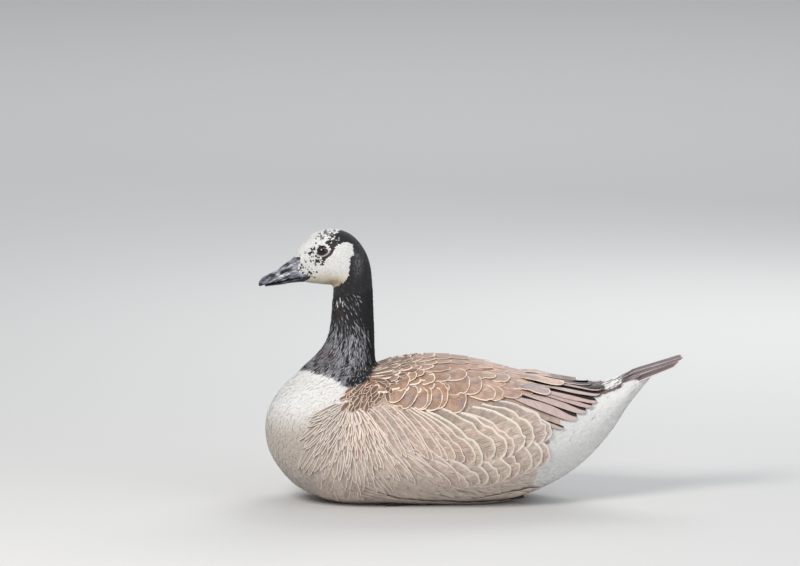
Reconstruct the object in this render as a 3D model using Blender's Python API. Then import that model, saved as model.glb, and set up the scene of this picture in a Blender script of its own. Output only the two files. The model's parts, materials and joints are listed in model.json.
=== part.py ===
"""A Canada goose, still and life-size, sitting on its belly as it floats in the water.

Metres, +Z up. The bill points along -X and the bird's left side faces -Y.
The origin is on the floor, under the middle of the whole length.
"""
import math

import bmesh
import bpy
import numpy as np
from mathutils import Vector
from mathutils.bvhtree import BVHTree

# Driving sizes of the bird
LENGTH = 0.5015          # bill tip to tail tip, as it sits
WATER_LINE = 0.072       # height of the line it floats at, over the belly's lowest point
BODY_HALF_WIDTH = 0.106  # at the folded wings
HEAD_HALF_WIDTH = 0.0266
GAP = 0.0003             # kept between touching solids
SMOOTH_ANGLE = math.radians(38)
HEAD_WIDEST, BODY_WIDEST = 0.42, 0.49    # share of its height, from the front, at which a ring is widest
BODY_FULLNESS, BILL_FULLNESS = 2.25, 2.3  # 2 is an ellipse, and more is squarer
HEAD_AROUND, NECK_AROUND, TORSO_AROUND, TAIL_AROUND = 28, 28, 36, 28

# The stations are read on a side view, in units of 1/425 of the length, which looks down a little
UNIT = LENGTH / 425.0
VIEW_DOWN = math.radians(8.0)
MIDDLE_U = 471.1
WATER_V = 438.5

# Each ring of the body: back point, front point (both on the side view), half width over the part's own.
# The rings fan round the throat at the head, and round the root of the nape at the chest.
HEAD_RINGS = [
    ((293.5, 257.8), (303.0, 281.6), 0.51),
    ((296.5, 251.5), (306.0, 282.0), 0.60),
    ((301.0, 245.0), (310.0, 282.6), 0.71),
    ((307.5, 238.0), (315.0, 283.1), 0.83),
    ((315.0, 232.8), (320.0, 283.6), 0.92),
    ((324.0, 229.8), (325.0, 284.0), 0.97),
    ((334.0, 229.0), (329.0, 284.3), 1.00),
    ((344.0, 231.2), (331.5, 284.8), 1.00),
    ((353.0, 236.0), (332.6, 285.6), 0.97),
    ((361.0, 244.5), (333.0, 286.5), 0.93),
    ((367.0, 255.0), (333.2, 287.5), 0.89),
    ((370.5, 266.5), (333.3, 289.0), 0.86),
    ((372.0, 279.0), (333.3, 291.5), 0.845),
]
NECK_RINGS = [
    ((372.6, 291.0), (333.0, 295.5), 0.212),
    ((373.0, 303.0), (332.3, 303.0), 0.217),
    ((373.5, 317.0), (331.5, 315.0), 0.231),
    ((374.0, 331.0), (330.0, 328.0), 0.255),
    ((374.2, 343.0), (326.5, 340.0), 0.292),
    ((374.6, 352.5), (320.5, 350.0), 0.340),
    ((375.0, 358.5), (312.0, 359.0), 0.396),
]
TORSO_RINGS = [
    ((375.8, 362.0), (302.5, 368.0), 0.462),
    ((377.0, 364.0), (292.5, 377.5), 0.538),
    ((378.3, 364.8), (282.0, 387.5), 0.623),
    ((380.0, 364.6), (273.0, 400.0), 0.698),
    ((381.7, 364.2), (266.5, 415.0), 0.764),
    ((383.5, 363.5), (265.2, 432.0), 0.821),
    ((386.0, 362.6), (269.0, 450.0), 0.868),
    ((389.0, 361.4), (279.0, 467.0), 0.904),
    ((393.0, 360.2), (294.0, 483.0), 0.930),
    ((399.0, 358.8), (315.0, 494.5), 0.954),
    ((408.0, 357.2), (341.0, 501.5), 0.970),
    ((420.0, 355.9), (372.0, 503.0), 0.980),
    ((436.0, 355.2), (405.0, 503.0), 0.984),
    ((455.0, 356.6), (438.0, 503.0), 0.974),
    ((475.0, 360.2), (470.0, 502.5), 0.948),
    ((495.0, 365.3), (500.0, 499.5), 0.903),
    ((515.0, 370.6), (527.0, 492.5), 0.833),
    ((535.0, 376.0), (551.0, 482.5), 0.745),
    ((555.0, 380.2), (572.0, 470.0), 0.647),
    ((573.0, 382.6), (589.0, 456.0), 0.555),
    ((589.0, 383.4), (603.0, 441.0), 0.474),
    ((603.0, 382.0), (614.0, 427.0), 0.412),
]
TAIL_RINGS = [
    ((615.0, 378.8), (623.0, 413.0), 0.362),
    ((626.0, 374.6), (631.5, 400.5), 0.318),
    ((636.0, 371.6), (640.0, 390.0), 0.268),
    ((645.0, 369.4), (648.0, 380.5), 0.200),
]
# Where the solids part, in places of the joined table of rings
HEAD_END = len(HEAD_RINGS) - 0.5
NECK_END = len(HEAD_RINGS + NECK_RINGS) - 0.2
TORSO_END = float(len(HEAD_RINGS + NECK_RINGS + TORSO_RINGS))
TAIL_END = len(HEAD_RINGS + NECK_RINGS + TORSO_RINGS + TAIL_RINGS) - 1.0

# Bill: ridge point, edge point (side view) and half width in units, from the face to the nail
UPPER_BILL = [
    ((293.1, 258.1), (300.7, 276.6), 11.4),
    ((288.5, 261.4), (295.5, 277.6), 10.7),
    ((283.0, 265.4), (289.5, 278.8), 10.1),
    ((277.0, 269.8), (282.5, 280.4), 9.4),
    ((271.0, 273.1), (275.5, 282.0), 8.6),
    ((266.0, 275.5), (269.0, 283.3), 7.9),
    ((262.0, 278.1), (264.0, 284.6), 6.7),
    ((259.6, 281.0), (261.3, 285.6), 4.9),
    ((258.5, 283.2), (259.6, 286.0), 2.6),
]
LOWER_BILL = [
    ((300.9, 277.1), (302.7, 281.6), 9.9),
    ((296.0, 278.1), (297.2, 281.9), 9.7),
    ((289.5, 279.3), (290.2, 282.6), 9.2),
    ((282.5, 280.9), (282.8, 284.0), 8.5),
    ((275.5, 282.5), (275.7, 284.9), 7.6),
    ((269.0, 283.8), (269.2, 285.7), 6.4),
    ((265.2, 284.9), (265.3, 286.3), 4.6),
]
NOSTRIL_AT = (285.3, 270.9)      # middle of the slit on the side view
NOSTRIL_SIZE = (0.0052, 0.0030, 0.0015)
NOSTRIL_RISE = math.radians(-20)
UPPER_BILL_WIDEST, LOWER_BILL_WIDEST = 0.16, 0.80
UPPER_BILL_AROUND, LOWER_BILL_AROUND = 20, 16

# Eye
EYE_AT = (323.6, 249.2)
EYE_RADIUS = 0.0080
EYE_DEPTH = 0.0054               # its centre's depth under the cheek
LID_RADIUS = 0.0060
LID_THICKNESS = 0.0011
LID_SINK = 0.0004
LID_SHAPE = (1.12, 0.88, 1.0)      # longer than high


def side(u, v):
    """Point of the middle plane at the side view's place u, v."""
    return Vector(((u - MIDDLE_U) * UNIT, 0.0, WATER_LINE + (WATER_V - v) * UNIT / math.cos(VIEW_DOWN)))


def seen_at(point):
    """The side view's place u, v of any point."""
    drop = (point.z - WATER_LINE) * math.cos(VIEW_DOWN) + point.y * math.sin(VIEW_DOWN)
    return point.x / UNIT + MIDDLE_U, WATER_V - drop / UNIT


def read_curve(rows, t):
    """A table read at any place t, by a Catmull-Rom curve through its rows."""
    t = min(max(t, 0.0), len(rows) - 1.0)
    i = min(int(t), len(rows) - 2)
    f = t - i
    p1, p2 = rows[i], rows[i + 1]
    p0 = rows[i - 1] if i > 0 else 2 * p1 - p2
    p3 = rows[i + 2] if i + 2 < len(rows) else 2 * p2 - p1
    return 0.5 * (2 * p1 + (p2 - p0) * f + (2 * p0 - 5 * p1 + 4 * p2 - p3) * f * f
                  + (3 * p1 - p0 - 3 * p2 + p3) * f ** 3)


def station_table():
    """One row a ring: back x and z, front x and z, half width, and its share of height where it is widest."""
    rows = []
    for back, front, width in HEAD_RINGS:
        rows.append((*side(*back).xz, *side(*front).xz, width * HEAD_HALF_WIDTH, HEAD_WIDEST))
    for back, front, width in NECK_RINGS + TORSO_RINGS + TAIL_RINGS:
        rows.append((*side(*back).xz, *side(*front).xz, width * BODY_HALF_WIDTH, BODY_WIDEST))
    return np.array(rows)


STATIONS = station_table()


def oval(back, front, half_width, share, around, fullness, shift=Vector()):
    """A ring from its back point round the left side, widest at that share of the way from front to back."""
    axis = (back - front).normalized()
    tall = (back - front).length
    widest = front + axis * tall * share
    points = []
    for j in range(around):
        c = math.cos(2 * math.pi * j / around)
        s = math.sin(2 * math.pi * j / around)
        reach = tall * (1 - share) if c > 0 else tall * share
        up = math.copysign(abs(c) ** (2 / fullness), c) * reach
        out = math.copysign(abs(s) ** (2 / fullness), s) * half_width
        points.append(widest + axis * up + Vector((0, -out, 0)) + shift)
    return points


def body_ring(t, around, push=0.0):
    """One ring of the body, moved by push along the body, with the belly flat on the floor."""
    back_x, back_z, front_x, front_z, half_width, share = read_curve(STATIONS, t)
    back, front = Vector((back_x, 0, back_z)), Vector((front_x, 0, front_z))
    ahead = (back - front).normalized().cross(Vector((0, 1, 0)))
    points = oval(back, front, half_width, share, around, BODY_FULLNESS, ahead * -push)
    for point in points:
        point.z = max(point.z, 0.0)
    return points


def clear_scene():
    for obj in list(bpy.data.objects):
        bpy.data.objects.remove(obj)


def collection(name):
    made = bpy.data.collections.new(name)
    bpy.context.scene.collection.children.link(made)
    return made


def finish_of(name, colour, roughness, metallic=0.0):
    made = bpy.data.materials.new(name)
    made.use_nodes = True
    shader = made.node_tree.nodes["Principled BSDF"]
    shader.inputs["Base Color"].default_value = (*colour, 1.0)
    shader.inputs["Roughness"].default_value = roughness
    shader.inputs["Metallic"].default_value = metallic
    made.diffuse_color = (*colour, 1.0)
    return made


def add_mesh(name, bm, material, where):
    bmesh.ops.recalc_face_normals(bm, faces=bm.faces)
    mesh = bpy.data.meshes.new(name)
    bm.to_mesh(mesh)
    bm.free()
    mesh.materials.append(material)
    obj = bpy.data.objects.new(name, mesh)
    where.objects.link(obj)
    mesh.shade_smooth()
    mesh.set_sharp_from_angle(angle=SMOOTH_ANGLE)
    return obj


def loft(name, rings, material, where):
    """A closed body through rings of equal count, with a flat cap at each end."""
    bm = bmesh.new()
    rows = [[bm.verts.new(p) for p in ring] for ring in rings]
    for near, far in zip(rows, rows[1:]):
        for j in range(len(near)):
            k = (j + 1) % len(near)
            bm.faces.new((near[j], near[k], far[k], far[j]))
    bm.faces.new(rows[0])
    bm.faces.new(rows[-1][::-1])
    return add_mesh(name, bm, material, where)


def plate(name, upper, under, material, where):
    """A closed thin body between two grids of points that match, split into triangles alike on both."""
    bm = bmesh.new()
    top = [[bm.verts.new(p) for p in row] for row in upper]
    low = [[bm.verts.new(p) for p in row] for row in under]
    last, edge = len(top) - 1, len(top[0]) - 1
    for i in range(last):
        for j in range(edge):
            for grid in (top, low):
                a, b, c, d = grid[i][j], grid[i + 1][j], grid[i + 1][j + 1], grid[i][j + 1]
                if (i + j) % 2:
                    bm.faces.new((a, b, c))
                    bm.faces.new((a, c, d))
                else:
                    bm.faces.new((a, b, d))
                    bm.faces.new((b, c, d))
    for i in range(last):
        bm.faces.new((top[i][0], top[i + 1][0], low[i + 1][0], low[i][0]))
        bm.faces.new((top[i][edge], top[i + 1][edge], low[i + 1][edge], low[i][edge]))
    for j in range(edge):
        bm.faces.new((top[0][j], top[0][j + 1], low[0][j + 1], low[0][j]))
        bm.faces.new((top[last][j], top[last][j + 1], low[last][j + 1], low[last][j]))
    return add_mesh(name, bm, material, where)


def combine(base, others, operation, solver="EXACT"):
    """One applied Boolean of base with all the others, which are then removed."""
    pool = bpy.data.collections.new("pool")
    for other in others:
        for home in list(other.users_collection):
            home.objects.unlink(other)
        pool.objects.link(other)
    bpy.context.scene.collection.children.link(pool)
    cut = base.modifiers.new("join", "BOOLEAN")
    cut.operand_type = "COLLECTION"
    cut.collection = pool
    cut.operation = operation
    cut.solver = solver
    graph = bpy.context.evaluated_depsgraph_get()
    made = bpy.data.meshes.new_from_object(base.evaluated_get(graph))
    base.modifiers.remove(cut)
    old = base.data
    base.data = made
    bpy.data.meshes.remove(old)
    for other in list(pool.objects):
        bpy.data.objects.remove(other)
    bpy.data.collections.remove(pool)
    keep_largest(base)
    base.data.shade_smooth()
    base.data.set_sharp_from_angle(angle=SMOOTH_ANGLE)


def keep_largest(obj):
    """Keeps the one closed surface with the most volume."""
    bm = bmesh.new()
    bm.from_mesh(obj.data)
    seen, groups = set(), []
    for face in bm.faces:
        if face in seen:
            continue
        group, reach = [], [face]
        seen.add(face)
        while reach:
            here = reach.pop()
            group.append(here)
            for edge in here.edges:
                for near in edge.link_faces:
                    if near not in seen:
                        seen.add(near)
                        reach.append(near)
        groups.append(group)
    if len(groups) > 1:
        def bulk(group):
            return abs(sum(f.calc_center_median().dot(f.normal) * f.calc_area() for f in group))
        largest = max(groups, key=bulk)
        kept = set(largest)
        bmesh.ops.delete(bm, geom=[f for f in bm.faces if f not in kept], context="FACES")
    bm.to_mesh(obj.data)
    bm.free()


def mirrored(obj, name, where):
    """The same piece on the bird's right side."""
    bm = bmesh.new()
    bm.from_mesh(obj.data)
    for vert in bm.verts:
        vert.co.y = -vert.co.y
    bmesh.ops.reverse_faces(bm, faces=bm.faces)
    mesh = bpy.data.meshes.new(name)
    bm.to_mesh(mesh)
    bm.free()
    mesh.materials.append(obj.data.materials[0])
    made = bpy.data.objects.new(name, mesh)
    where.objects.link(made)
    mesh.set_sharp_from_angle(angle=SMOOTH_ANGLE)
    return made


def stretch(name, start, end, around, material, where):
    """A length of the body between two places of the station table, half a gap short at each end."""
    rings = [body_ring(start, around, GAP / 2)]
    rings += [body_ring(t, around) for t in range(math.ceil(start + 0.3), math.floor(end - 0.3) + 1)]
    rings.append(body_ring(end, around, -GAP / 2))
    return loft(name, rings, material, where)


# The line through the torso that pieces are set round, and the mean distance from it to the skin
SPINE_X = (-0.2, 0.05, 0.12, 0.17, 0.21)
SPINE_Z = (0.088, 0.088, 0.108, 0.124, 0.138)
BODY_RADIUS = 0.09


def outer_skin():
    """A fine copy of the neck, torso and rump for setting pieces on."""
    around, fine = 96, 4
    start, end = len(HEAD_RINGS), TAIL_END
    count = int((end - start) * fine)
    verts, faces = [], []
    for i in range(count + 1):
        verts += body_ring(start + i / fine, around)
    for i in range(count):
        for j in range(around):
            k = (j + 1) % around
            a = i * around
            faces.append((a + j, a + k, a + around + k, a + around + j))
    faces += [tuple(range(around)), tuple(range(count * around, (count + 1) * around))]
    return BVHTree.FromPolygons(verts, faces)


SKIN = outer_skin()


def spine_height(x):
    """Height of the line through the torso that pieces are set round."""
    return float(np.interp(x, SPINE_X, SPINE_Z))


def on_body(x, angle, lift=0.0):
    """Point over the skin at x, at an angle from straight up towards the left side."""
    start = Vector((x, 0, spine_height(x)))

    def hit(at, turn):
        begin = Vector((at, 0, spine_height(at)))
        way = Vector((0, -math.sin(turn), math.cos(turn)))
        return SKIN.ray_cast(begin, way)[0]
    here = hit(x, angle)
    step = 0.003
    along = hit(x + step, angle) - hit(x - step, angle)
    round_it = hit(x, angle + step / BODY_RADIUS) - hit(x, angle - step / BODY_RADIUS)
    normal = along.cross(round_it).normalized()
    if normal.dot(here - start) < 0:
        normal = -normal
    return here + normal * lift


# Folded wing's core, let into the torso's side: lower edge on the side view, and upper edge as an angle
CORE_FRONT_U, CORE_BACK_U = 366.0, 552.0
CORE_LOW_EDGE = [(366, 396), (371, 400), (385, 408), (404, 415.5), (424, 418.5), (440, 417.5), (457, 413),
                 (473, 408), (488, 406), (507, 406), (525, 410), (540, 414), (552, 417)]
CORE_HIGH_ANGLE = [(366, 53), (380, 42), (393, 29), (406, 19), (420, 12), (440, 5), (460, 2.0), (480, 1.0),
                   (520, 0.8), (552, 3.0)]
CORE_SINK, CORE_RIM, CORE_TOP = 0.0095, 0.0050, -0.0010
BED_GROW, BED_CUT = 0.0005, 0.0040    # the bed's cutter is larger by this, and reaches this far out

# Rows of coverts and scapulars, front to back: root u, root angles of the highest and lowest feather,
# tip u of both, tip angles of both, how many feathers, and half their width
COVERT_ROWS = [
    (374, (52, 62), (393, 384), (46, 66), 3, 0.0080),
    (387, (43, 65), (414, 404), (35, 71), 4, 0.0098),
    (404, (32, 68), (435, 426), (25, 72), 4, 0.0110),
    (423, (22, 67), (457, 449), (17, 71), 4, 0.0118),
    (444, (14, 68), (480, 471), (12, 70), 5, 0.0112),
    (467, (12, 62), (504, 496), (11, 65), 4, 0.0124),
    (492, (11, 56), (530, 521), (11, 60), 4, 0.0112),
]
COVERT_STAGGER = 0.2               # every other row is shifted by this share of a feather
# Flight feathers, from the top down: tip u and angle, root u and angle, half width, height over the skin
FLIGHT_FEATHERS = [
    ((578, 15), (520, 13), 0.0096, 0.0056),     # tertials
    ((564, 41), (520, 33), 0.0098, 0.0056),
    ((549, 60), (516, 51), 0.0085, 0.0050),
    ((601, 42), (524, 24), 0.0075, 0.0030),     # folded primaries
    ((608, 64), (524, 33), 0.0075, 0.0030),
    ((612, 77), (524, 41), 0.0080, 0.0030),     # secondaries
    ((608, 84), (524, 46), 0.0080, 0.0030),
    ((602, 90), (524, 50), 0.0080, 0.0030),
    ((595, 95), (523, 54), 0.0078, 0.0030),
    ((586, 98), (521, 57), 0.0076, 0.0030),
    ((575, 99), (518, 60), 0.0074, 0.0030),
    ((562, 98), (514, 62), 0.0072, 0.0030),
]
VANE_THICKNESS, VANE_TIP_THICKNESS = 0.0008, 0.0005
VANE_ROOT_LIFT, VANE_TIP_LIFT = -0.0034, 0.0022
VANE_TILT, FLIGHT_TILT = 0.0007, 0.0016     # how much more the lower edge of each feather stands out
VANE_CAMBER = 0.0002               # how far its edges bend down
VANE_OUTLINE = ((0.0, 0.5, 0.8, 0.93, 1.0), (0.36, 1.0, 0.95, 0.72, 0.30))     # its width from root to tip
COVERT_STEPS, FLIGHT_STEPS = (0.0, 0.5, 0.85, 1.0), (0.0, 0.35, 0.65, 0.88, 1.0)
FLIGHT_RISE = 0.35                 # share of its length over which a flight feather rises to its height
# Outside the core a feather clears the skin by a lift that starts this far inside the core's edge
RIM_EDGE, RIM_START, RIM_LIFT, RIM_DEPTH = 0.0015, 0.0090, 0.0015, -0.0100
MIDLINE_CLEAR = 0.0004


def low_angle(x):
    """Angle, in whole degrees, at which the wing core's lower edge shows on the side view, at x."""
    edge_v = np.interp(x / UNIT + MIDDLE_U, *zip(*CORE_LOW_EDGE))
    degree = 4
    while seen_at(on_body(x, math.radians(degree)))[1] < edge_v:
        degree += 1
    return math.radians(degree)


def wing_core(name, material, where, grow=0.0):
    """The wing's own body, let into the torso's side. With grow it is that much larger all round."""
    along, across = 14, 6
    upper, under = [], []
    for i in range(along + 1):
        u = CORE_FRONT_U + (CORE_BACK_U - CORE_FRONT_U) * i / along
        x = (u - MIDDLE_U) * UNIT
        high = math.radians(np.interp(u, *zip(*CORE_HIGH_ANGLE)))
        low = low_angle(x)
        x += grow * (2 * i / along - 1)
        high = max(high - grow / BODY_RADIUS, 0.0)
        low += grow / BODY_RADIUS
        rim = CORE_RIM + (CORE_SINK - CORE_RIM) * min(1.0, 5 * min(i, along - i) / along)
        angles = [high + (low - high) * j / across for j in range(across + 1)]
        sinks = [CORE_RIM if j in (0, across) else rim for j in range(across + 1)]
        upper.append([on_body(x, a, BED_CUT if grow else CORE_TOP) for a in angles])
        under.append([on_body(x, a, -s - grow) for a, s in zip(angles, sinks)])
    return plate(name, upper, under, material, where)


def core_edges():
    """The core's upper and lower edge as angles at even steps of x, read once for all its feathers."""
    xs = np.linspace((CORE_FRONT_U - MIDDLE_U) * UNIT, (CORE_BACK_U - MIDDLE_U) * UNIT, 24)
    lows = [low_angle(x) for x in xs]
    highs = [math.radians(np.interp(x / UNIT + MIDDLE_U, *zip(*CORE_HIGH_ANGLE))) for x in xs]
    return xs, highs, lows


def inside_core(point, edges):
    """How far inside the core's outline a point of the skin is, less than nought outside it."""
    xs, highs, lows = edges
    rise = point.z - spine_height(point.x)
    angle = math.atan2(-point.y, rise)
    radius = math.hypot(point.y, rise)
    high, low = np.interp(point.x, xs, highs), np.interp(point.x, xs, lows)
    return min((angle - high) * radius, (low - angle) * radius, point.x - xs[0], xs[-1] - point.x)


def over_skin(point, lift):
    """The point of the skin nearest to this one, raised by lift, and that lift's direction."""
    place, normal, _, _ = SKIN.find_nearest(point)
    if normal.dot(place - Vector((place.x, 0, spine_height(place.x)))) < 0:
        normal = -normal
    return place + normal * lift, normal


def wing_vane(name, root, tip, half_width, lift_at, tilt, steps, edges, material, where):
    """One feather from root to tip, each a u and an angle, over the skin by what lift_at gives."""
    def middle(t):
        u, angle = root[0] + (tip[0] - root[0]) * t, root[1] + (tip[1] - root[1]) * t
        return on_body((u - MIDDLE_U) * UNIT, math.radians(angle))

    upper, under = [], []
    for f, share in zip(steps, np.interp(steps, *VANE_OUTLINE)):
        here = middle(f)
        along = (middle(f + 0.02) - middle(f - 0.02)).normalized()
        normal = over_skin(here, 0.0)[1]
        down = along.cross(normal).normalized()
        if down.z > 0:
            down = -down
        thick = VANE_THICKNESS + (VANE_TIP_THICKNESS - VANE_THICKNESS) * f
        top_row, low_row = [], []
        for s in (-1, 0, 1):
            spot = here + down * s * share * half_width
            clear = np.interp(inside_core(spot, edges), (RIM_EDGE, RIM_START), (RIM_LIFT, RIM_DEPTH))
            lift = max(lift_at(f) + tilt * s - VANE_CAMBER * s * s, clear)
            top, _ = over_skin(spot, lift)
            low, _ = over_skin(spot, lift - thick)
            for point in (top, low):
                point.y = min(point.y, -MIDLINE_CLEAR)
            top_row.append(top)
            low_row.append(low)
        upper.append(top_row)
        under.append(low_row)
    return plate(name, upper, under, material, where)


def wing_feathers(material, where):
    """Coverts in rows like shingles, and over the rump the tertials, primaries and secondaries in tiers."""
    edges = core_edges()
    vanes = []

    def covert_lift(f):
        return VANE_ROOT_LIFT + (VANE_TIP_LIFT - VANE_ROOT_LIFT) * f

    for row, (root_u, root_span, tip_us, tip_span, count, half_width) in enumerate(COVERT_ROWS):
        for n in range(count):
            f = (n + 0.5 + (COVERT_STAGGER if row % 2 else -COVERT_STAGGER)) / count
            root = (root_u, root_span[0] + (root_span[1] - root_span[0]) * f)
            tip = (tip_us[0] + (tip_us[1] - tip_us[0]) * f, tip_span[0] + (tip_span[1] - tip_span[0]) * f)
            vanes.append(wing_vane("covert", root, tip, half_width, covert_lift, VANE_TILT,
                                   COVERT_STEPS, edges, material, where))
    for tip, root, half_width, height in FLIGHT_FEATHERS:
        def flight_lift(f):
            return float(np.interp(f, (0.0, FLIGHT_RISE), (VANE_ROOT_LIFT, height)))
        vanes.append(wing_vane("flight", root, tip, half_width, flight_lift, FLIGHT_TILT,
                               FLIGHT_STEPS, edges, material, where))
    return vanes


def bill_rings(table, around, widest):
    """Rings of one half of the bill: domed on its ridge side and flat along the mouth."""
    rows = np.array([(*side(*a).xz, *side(*b).xz, w * UNIT) for a, b, w in table])
    rings = []
    for i in range(2 * len(rows) - 1):
        ax, az, bx, bz, half_width = read_curve(rows, i / 2)
        ridge, edge = Vector((ax, 0, az)), Vector((bx, 0, bz))
        rings.append(oval(ridge, edge, half_width, widest, around, BILL_FULLNESS))
    return rings


def make_bill(material, where):
    upper = loft("bill_upper", bill_rings(UPPER_BILL, UPPER_BILL_AROUND, UPPER_BILL_WIDEST), material, where)
    cutters = []
    centre = side(*NOSTRIL_AT)
    for way in (-1, 1):
        wall = half_width_of(upper, centre, way)
        bpy.ops.mesh.primitive_uv_sphere_add(segments=16, ring_count=8, radius=1.0)
        slit = bpy.context.object
        slit.scale = NOSTRIL_SIZE
        slit.rotation_euler.y = -NOSTRIL_RISE
        slit.location = (centre.x, wall, centre.z)
        cutters.append(slit)
    combine(upper, cutters, "DIFFERENCE")
    loft("bill_lower", bill_rings(LOWER_BILL, LOWER_BILL_AROUND, LOWER_BILL_WIDEST), material, where)


def half_width_of(obj, point, way):
    """Where the object's side lies out from the middle plane, at that point."""
    hit, place, _, _ = obj.ray_cast(Vector((point.x, way * 0.2, point.z)), Vector((0, -way, 0)))
    return place.y if hit else 0.0


def make_head(skin, eye_finish, where):
    """Head with raised eyelids and sockets, and an eyeball in each socket."""
    rings = [body_ring(0, HEAD_AROUND, GAP / 2)]
    rings += [body_ring(t / 2, HEAD_AROUND) for t in range(1, 2 * len(HEAD_RINGS) - 2)]
    rings.append(body_ring(HEAD_END, HEAD_AROUND, -GAP / 2))
    head = loft("head", rings, skin, where)
    place = side(*EYE_AT)
    lids, sockets = [], []
    for way in (-1, 1):
        cheek = half_width_of(head, place, way)
        centre = Vector((place.x, cheek - way * EYE_DEPTH, place.z))
        bpy.ops.mesh.primitive_torus_add(
            major_radius=LID_RADIUS, minor_radius=LID_THICKNESS, major_segments=24, minor_segments=8,
            location=(place.x, cheek - way * LID_SINK, place.z), rotation=(math.radians(90), 0, 0))
        lid = bpy.context.object
        lid.scale = LID_SHAPE
        lids.append(lid)
        for name, radius, home in (("socket", EYE_RADIUS + GAP, sockets), ("eye", EYE_RADIUS, None)):
            bpy.ops.mesh.primitive_uv_sphere_add(
                segments=20, ring_count=12, radius=radius, location=centre, rotation=(math.radians(90), 0, 0))
            ball = bpy.context.object
            if home is not None:
                home.append(ball)
                continue
            ball.name = "eye_left" if way < 0 else "eye_right"
            ball.data.materials.append(eye_finish)
            ball.data.shade_smooth()
            for old in list(ball.users_collection):
                old.objects.unlink(ball)
            where.objects.link(ball)
    combine(head, lids, "UNION")
    combine(head, sockets, "DIFFERENCE")


# Tail: its feathers run up and back from the rump in pairs, each pair tucked under the one nearer the middle
TAIL_ROOT = (624.0, 379.6)
TAIL_TIP = (683.0, 355.0)
TAIL_PAIRS = 8
TAIL_PITCH = (0.0022, 0.0040)      # sideways step from pair to pair, at the root and at the tip
TAIL_FEATHER_HALF_WIDTH = (0.0055, 0.0090)
TAIL_STEP = 0.00115                # step down from pair to pair
TAIL_ARCH = (0.010, 0.006)         # how far the sides of the fan hang, at the root and at the tip
TAIL_ROUNDING = 0.12               # share of its length by which the outermost feather is shorter
TAIL_OUTLINE = ((0.0, 0.9), (0.35, 1.0), (0.7, 1.0), (0.92, 0.8), (1.0, 0.35))   # width, root to tip


def tail_vane(pair, material, where):
    """One feather of the left half of the tail."""
    root, tip = side(*TAIL_ROOT), side(*TAIL_TIP)
    lie = (tip - root).normalized()
    up = Vector((-lie.z, 0, lie.x))
    length = (tip - root).length * (1 - TAIL_ROUNDING * (pair / (TAIL_PAIRS - 1)) ** 2)
    upper, under = [], []
    for f, share in TAIL_OUTLINE:
        pitch = TAIL_PITCH[0] + (TAIL_PITCH[1] - TAIL_PITCH[0]) * f
        half = TAIL_FEATHER_HALF_WIDTH[0] + (TAIL_FEATHER_HALF_WIDTH[1] - TAIL_FEATHER_HALF_WIDTH[0]) * f
        arch = TAIL_ARCH[0] + (TAIL_ARCH[1] - TAIL_ARCH[0]) * f
        reach = TAIL_PAIRS * pitch + half
        middle = pitch * (pair + 0.5)
        thick = VANE_THICKNESS + (VANE_TIP_THICKNESS - VANE_THICKNESS) * f
        top_row, low_row = [], []
        for s in (-1, 0, 1):
            out = max(middle + s * share * half, MIDLINE_CLEAR)
            drop = arch * (out / reach) ** 2 + TAIL_STEP / pitch * (middle + half - out)
            point = root + lie * length * f + Vector((0, -out, 0)) - up * drop
            top_row.append(point)
            low_row.append(point - up * thick)
        upper.append(top_row)
        under.append(low_row)
    return plate("rectrix", upper, under, material, where)


def make_tail(material, where):
    """The tail's rump end with the fan of its feathers."""
    rump = stretch("tail", TORSO_END, TAIL_END, TAIL_AROUND, material, where)
    left = [tail_vane(pair, material, where) for pair in range(TAIL_PAIRS)]
    combine(rump, left + [mirrored(vane, "rectrix_right", where) for vane in left], "UNION", "MANIFOLD")


# Tucked legs: the shank lies along the belly and the webbed foot points forward, flat on the floor
FOOT_OUT = 0.034
ANKLE_X, SHANK_BEND_X, TOE_ROOT_X, TOE_TIP_X = 0.062, 0.020, -0.020, -0.104
ANKLE_Z, SHANK_BEND_Z, ANKLE_IN = 0.012, 0.0085, 0.002
SHANK_RADIUS, TOE_RADIUS, WEB_THICKNESS = 0.0052, 0.0038, 0.0026
TOE_SPREAD = (0.022, 0.0, -0.020)      # sideways reach of the outer, middle and inner toe
TOE_SHARE = (0.88, 1.0, 0.80)          # their length over the middle one's
TOE_STEPS = ((0.0, 1.0, 1.0), (0.5, 0.95, 0.95), (1.0, 0.62, 0.62))     # way along, height, radius
CLAW, CLAW_TIP = 0.007, 0.35
WEB_ROOT = (0.006, 0.004)              # the web reaches this far behind the toes' root, and this far out
WEB_NOTCH = 0.009                      # how far its edge curves in between the toes
HIND_TOE = (0.018, 0.008, 0.0026)
PIECE_SIDES = 8
# The pocket under the body is larger than the foot by these, and this high
POCKET_MARGIN, WEB_MARGIN, POCKET_TOP = 0.0030, 0.0060, 0.0012


def rod(name, points, radii, material, where):
    """A round rod through the points."""
    curve = bpy.data.curves.new(name, "CURVE")
    curve.dimensions = "3D"
    curve.bevel_depth = 1.0
    curve.bevel_resolution = PIECE_SIDES // 4
    curve.use_fill_caps = True
    line = curve.splines.new("POLY")
    line.points.add(len(points) - 1)
    for spot, place, radius in zip(line.points, points, radii):
        spot.co = (*place, 1.0)
        spot.radius = radius
    guide = bpy.data.objects.new(name, curve)
    where.objects.link(guide)
    graph = bpy.context.evaluated_depsgraph_get()
    mesh = bpy.data.meshes.new_from_object(guide.evaluated_get(graph))
    bm = bmesh.new()
    bm.from_mesh(mesh)
    bmesh.ops.remove_doubles(bm, verts=bm.verts, dist=1e-5)
    bpy.data.objects.remove(guide)
    bpy.data.meshes.remove(mesh)
    return add_mesh(name, bm, material, where)


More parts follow.
